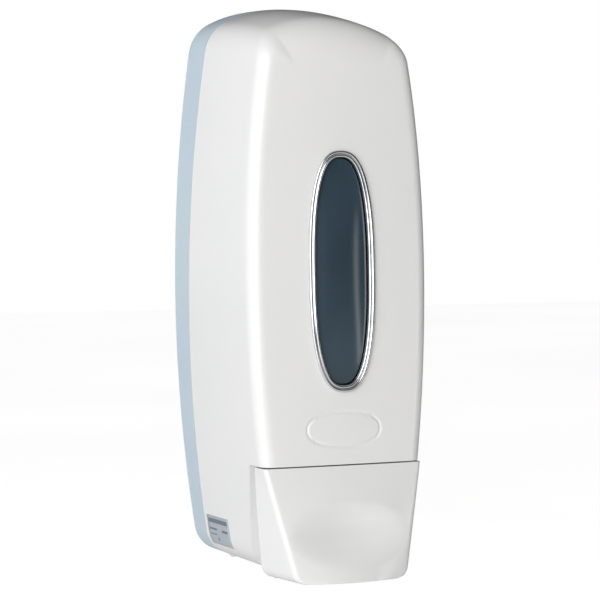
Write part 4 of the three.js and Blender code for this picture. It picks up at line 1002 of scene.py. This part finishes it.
plate = {
    "back": 2.5 * mm, "rimRows": 8, "backRows": 14, "edgeRadius": 0.6 * mm,
    "keyholes": [(-18 * mm, 58 * mm), (18 * mm, 58 * mm), (-18 * mm, -32 * mm), (18 * mm, -32 * mm)],
    "holeRadius": 4.4 * mm, "slotRadius": 2.3 * mm, "slotRise": 7 * mm,
    "behind": 5 * mm, "ahead": 10 * mm, "wide": 60 * mm, "floorSetback": 1.6 * mm, "floorRise": 4 * mm,
}


def makePlateTray():
    rows = plate["rimRows"] + plate["backRows"]

    def place(across, along):
        station = stations[round(across * len(stations)) % len(stations)]
        row = round(along * rows)
        if row <= plate["rimRows"]:
            front = jointAt(station[1]) - form["gap"] / 2
            d = front * (1 - row / plate["rimRows"])
            x, z = wallPoint(station, d)
            return Vector((x, -d, z))
        k = 1 - (row - plate["rimRows"]) / plate["backRows"]
        x, z = wallPoint(station, 0)
        return Vector((x * k, 0, z * k))

    bm = bentGrid(len(stations), rows, place)
    faceOutwards(bm, Vector((0, -0.008, 0)))
    piece = finishPiece("wall_plate_tray", bm, "plateGrey", "wall_side", ["wall_plate"])
    addShell(piece, form["skin"])
    cutters = []
    behind, ahead, slot, wide = plate["behind"], -plate["ahead"], plate["slotRadius"], plate["wide"]
    for x, z in plate["keyholes"]:
        rise = z + plate["slotRise"]
        cutters.append(rodMesh((x, behind, z), (x, ahead, z), plate["holeRadius"]))
        cutters.append(boxMesh((x - slot, ahead, z), (x + slot, behind, rise)))
        cutters.append(rodMesh((x, behind, rise), (x, ahead, rise), slot))
    floorTop = form["bottom"] + plate["floorRise"]
    cutters.append(boxMesh((-wide, -wide, form["bottom"] + ahead),
                           (wide, hinge[1] + plate["floorSetback"], floorTop)))
    cutFrom(piece, cutters)
    addBevel(piece, plate["edgeRadius"])


hinge = next(j for j in frame["joints"] if j["name"] == "cover_hinge")["pos_m"]

fittings = {
    "knuckleX": 16.2 * mm, "knuckleLength": 4.2 * mm, "knuckleRadius": 2.2 * mm, "edge": 0.35 * mm,
    "webBelow": 1 * mm, "webAbove": 1.2 * mm,
    "coverWebLength": 5 * mm, "coverWebBelow": 1.1 * mm, "coverWebAbove": 1 * mm,
    "shelfHeight": -47 * mm, "shelfHalf": 20 * mm, "shelfDepth": 27 * mm, "shelfThick": 2.4 * mm,
    "clipThick": 1.8 * mm, "clipHalfHeight": 9 * mm, "clipDepth": 24 * mm,
    "postRadius": 3.6 * mm, "sunk": 1 * mm, "seatPast": 1.45 * mm, "seatThick": 2.5 * mm,
    "railFoot": 6 * mm, "railThick": 2.3 * mm, "railReach": 10 * mm, "railDrop": 1 * mm,
    "bossRadius": 4.6 * mm, "bossProud": 1.4 * mm, "bossSunk": 0.8 * mm,
}


# One hinge knuckle that starts at x; gives back where it ends.
def addKnuckle(bm, x):
    v, end = fittings, x + fittings["knuckleLength"]
    rodMesh((x, hinge[1], hinge[2]), (end, hinge[1], hinge[2]), v["knuckleRadius"], bm, 32, v["edge"])
    return end


def makePlateFittings():
    v, gap, bm, edge = fittings, form["gap"], bmesh.new(), fittings["edge"]
    base = v["sunk"] - plate["back"]
    shelfTop = v["shelfHeight"] - gap
    boxMesh((-v["shelfHalf"], -v["shelfDepth"], shelfTop - v["shelfThick"]),
            (v["shelfHalf"], base, shelfTop), bm, edge)
    armX, middle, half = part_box("reservoir")[1].x + gap, form["widestHeight"], v["clipHalfHeight"]
    for side in (-1, 1):
        near, far = sorted((side * armX, side * (armX + v["clipThick"])))
        boxMesh((near, -v["clipDepth"], middle - half), (far, base, middle + half), bm, edge)
    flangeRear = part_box("pump_body")[1].y
    for name in ("pump_screw_1", "pump_screw_2", "pump_screw_3", "pump_screw_4"):
        low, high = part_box(name)
        x, z = (low.x + high.x) / 2, (low.z + high.z) / 2
        rodMesh((x, base, z), (x, flangeRear + gap, z), v["postRadius"], bm, 32, edge)
    latchLow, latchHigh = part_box("lock_latch")
    seat, reach, railX = latchLow.z - v["railFoot"], -v["railReach"], latchHigh.x + gap
    for side in (-1, 1):
        near, far = sorted((side * railX, side * (railX + v["railThick"])))
        boxMesh((near, reach, seat), (far, base, latchHigh.z - v["railDrop"]), bm, edge)
    seatX = latchHigh.x + v["seatPast"]
    boxMesh((-seatX, reach, seat - v["seatThick"]), (seatX, base, seat), bm, edge)
    for x in (-v["knuckleX"] + gap / 2, v["knuckleX"] - gap / 2 - v["knuckleLength"]):
        end = addKnuckle(bm, x)
        boxMesh((x, hinge[1], hinge[2] - v["webBelow"]), (end, base, hinge[2] + v["webAbove"]), bm)
    finishPiece("wall_plate_fittings", bm, "plateGrey", "wall_side")


def makeCoverFittings():
    v, gap, bm = fittings, form["gap"], bmesh.new()
    for x in (-v["knuckleX"] - gap / 2 - v["knuckleLength"], v["knuckleX"] + gap / 2):
        end = addKnuckle(bm, x)
        boxMesh((x, hinge[1] - v["coverWebLength"], hinge[2] - v["coverWebBelow"]),
                (end, hinge[1], hinge[2] + v["coverWebAbove"]), bm)
    wall = sideHalfWidth(pivot[2], -pivot[1]) - form["skin"]
    for side in (-1, 1):
        near, far = side * (wall - v["bossProud"]), side * (wall + v["bossSunk"])
        rodMesh((near, pivot[1], pivot[2]), (far, pivot[1], pivot[2]), v["bossRadius"], bm, 40, v["edge"])
    finishPiece("front_cover_fittings", bm, "coverWhite", "cover")


makePlateTray()
makePlateFittings()
makeCoverFittings()
print("stage: wall plate")


def lowerSideX(z, depth):
    near = [s for s in stations if s[0] > 0 and s[2] > 0.3]
    for a, b in zip(near, near[1:]):
        if a[1] <= z <= b[1]:
            t = (z - a[1]) / (b[1] - a[1])
            nx = a[2] + (b[2] - a[2]) * t
            return a[0] + (b[0] - a[0]) * t - nx * form["sideDraft"] * depth / form["frontDepth"]
    return sideHalfWidth(z, depth)


label = {"lift": 0.06 * mm, "thickness": 0.15 * mm, "columns": 12, "rows": 24}


def makeLabel():
    low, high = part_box("side_label")

    def place(across, along):
        depth = -high.y + (high.y - low.y) * across
        z = low.z + (high.z - low.z) * along
        return Vector((-(lowerSideX(z, depth) + label["lift"] + label["thickness"]), -depth, z))

    bm = bentGrid(label["columns"], label["rows"], place)
    faceOutwards(bm, Vector((0, -0.03, -0.09)))
    piece = finishPiece("side_label_film", bm, "labelSilver", "cover", ["side_label"])
    addShell(piece, label["thickness"])


makeLabel()
print("stage: label")


slotFinish = {
    "steel": "springSteel", "tank_milky": "tankMilky", "pump_white": "pumpWhite",
    "silicone": "siliconeClear",
    "seal_black": "sealBlack", "cover_white": "coverWhite", "plate_grey": "plateGrey",
    "chrome": "chromePlate",
    "smoke_lens": "smokeLens", "label_silver": "labelSilver",
}

for part in frame["record"]["subparts"]:
    node = frame["nodes"][part["node"]]
    for holder in node.material_slots:
        holder.link = "OBJECT"
        holder.material = finishes[slotFinish[part["material_slot"]]]
print("stage: carried over pieces")


floorPlan = {
    "height": -0.30, "half": 6.0, "light": (0.93, 0.93, 0.925), "dark": (0.90, 0.90, 0.895),
    "glow": 0.76, "bounce": 0.12,
}


def makeFloor(v):
    bm = bmesh.new()
    bmesh.ops.create_grid(bm, x_segments=1, y_segments=1, size=v["half"])
    bmesh.ops.translate(bm, vec=(0, 0, v["height"]), verts=bm.verts)
    mesh = bpy.data.meshes.new("floor")
    bm.to_mesh(mesh)
    bm.free()
    floor = bpy.data.objects.new("floor", mesh)
    scene.collection.objects.link(floor)
    material, tree, place, shader = startMaterial("paleFloor")
    surface = placeGroup(tree, mouldedGroup, {
        "Vector": place, "Wave Scale": 1.5, "Grain Scale": 300.0, "Grain": 0.2, "Light": rgba(v["light"]),
        "Dark": rgba(v["dark"]), "Roughness": 0.8, "Roughness Spread": 0.1})
    tree.links.new(surface.outputs["Color"], shader.inputs["Base Color"])
    tree.links.new(surface.outputs["Roughness"], shader.inputs["Roughness"])
    tree.links.new(surface.outputs["Color"], shader.inputs["Emission Color"])
    path = tree.nodes.new("ShaderNodeLightPath")
    seen = mathNode(tree, "MULTIPLY", path.outputs["Is Camera Ray"], v["glow"] - v["bounce"])
    seen = mathNode(tree, "ADD", seen, v["bounce"])
    tree.links.new(seen, shader.inputs["Emission Strength"])
    mesh.materials.append(material)


makeFloor(floorPlan)
print("stage: floor")
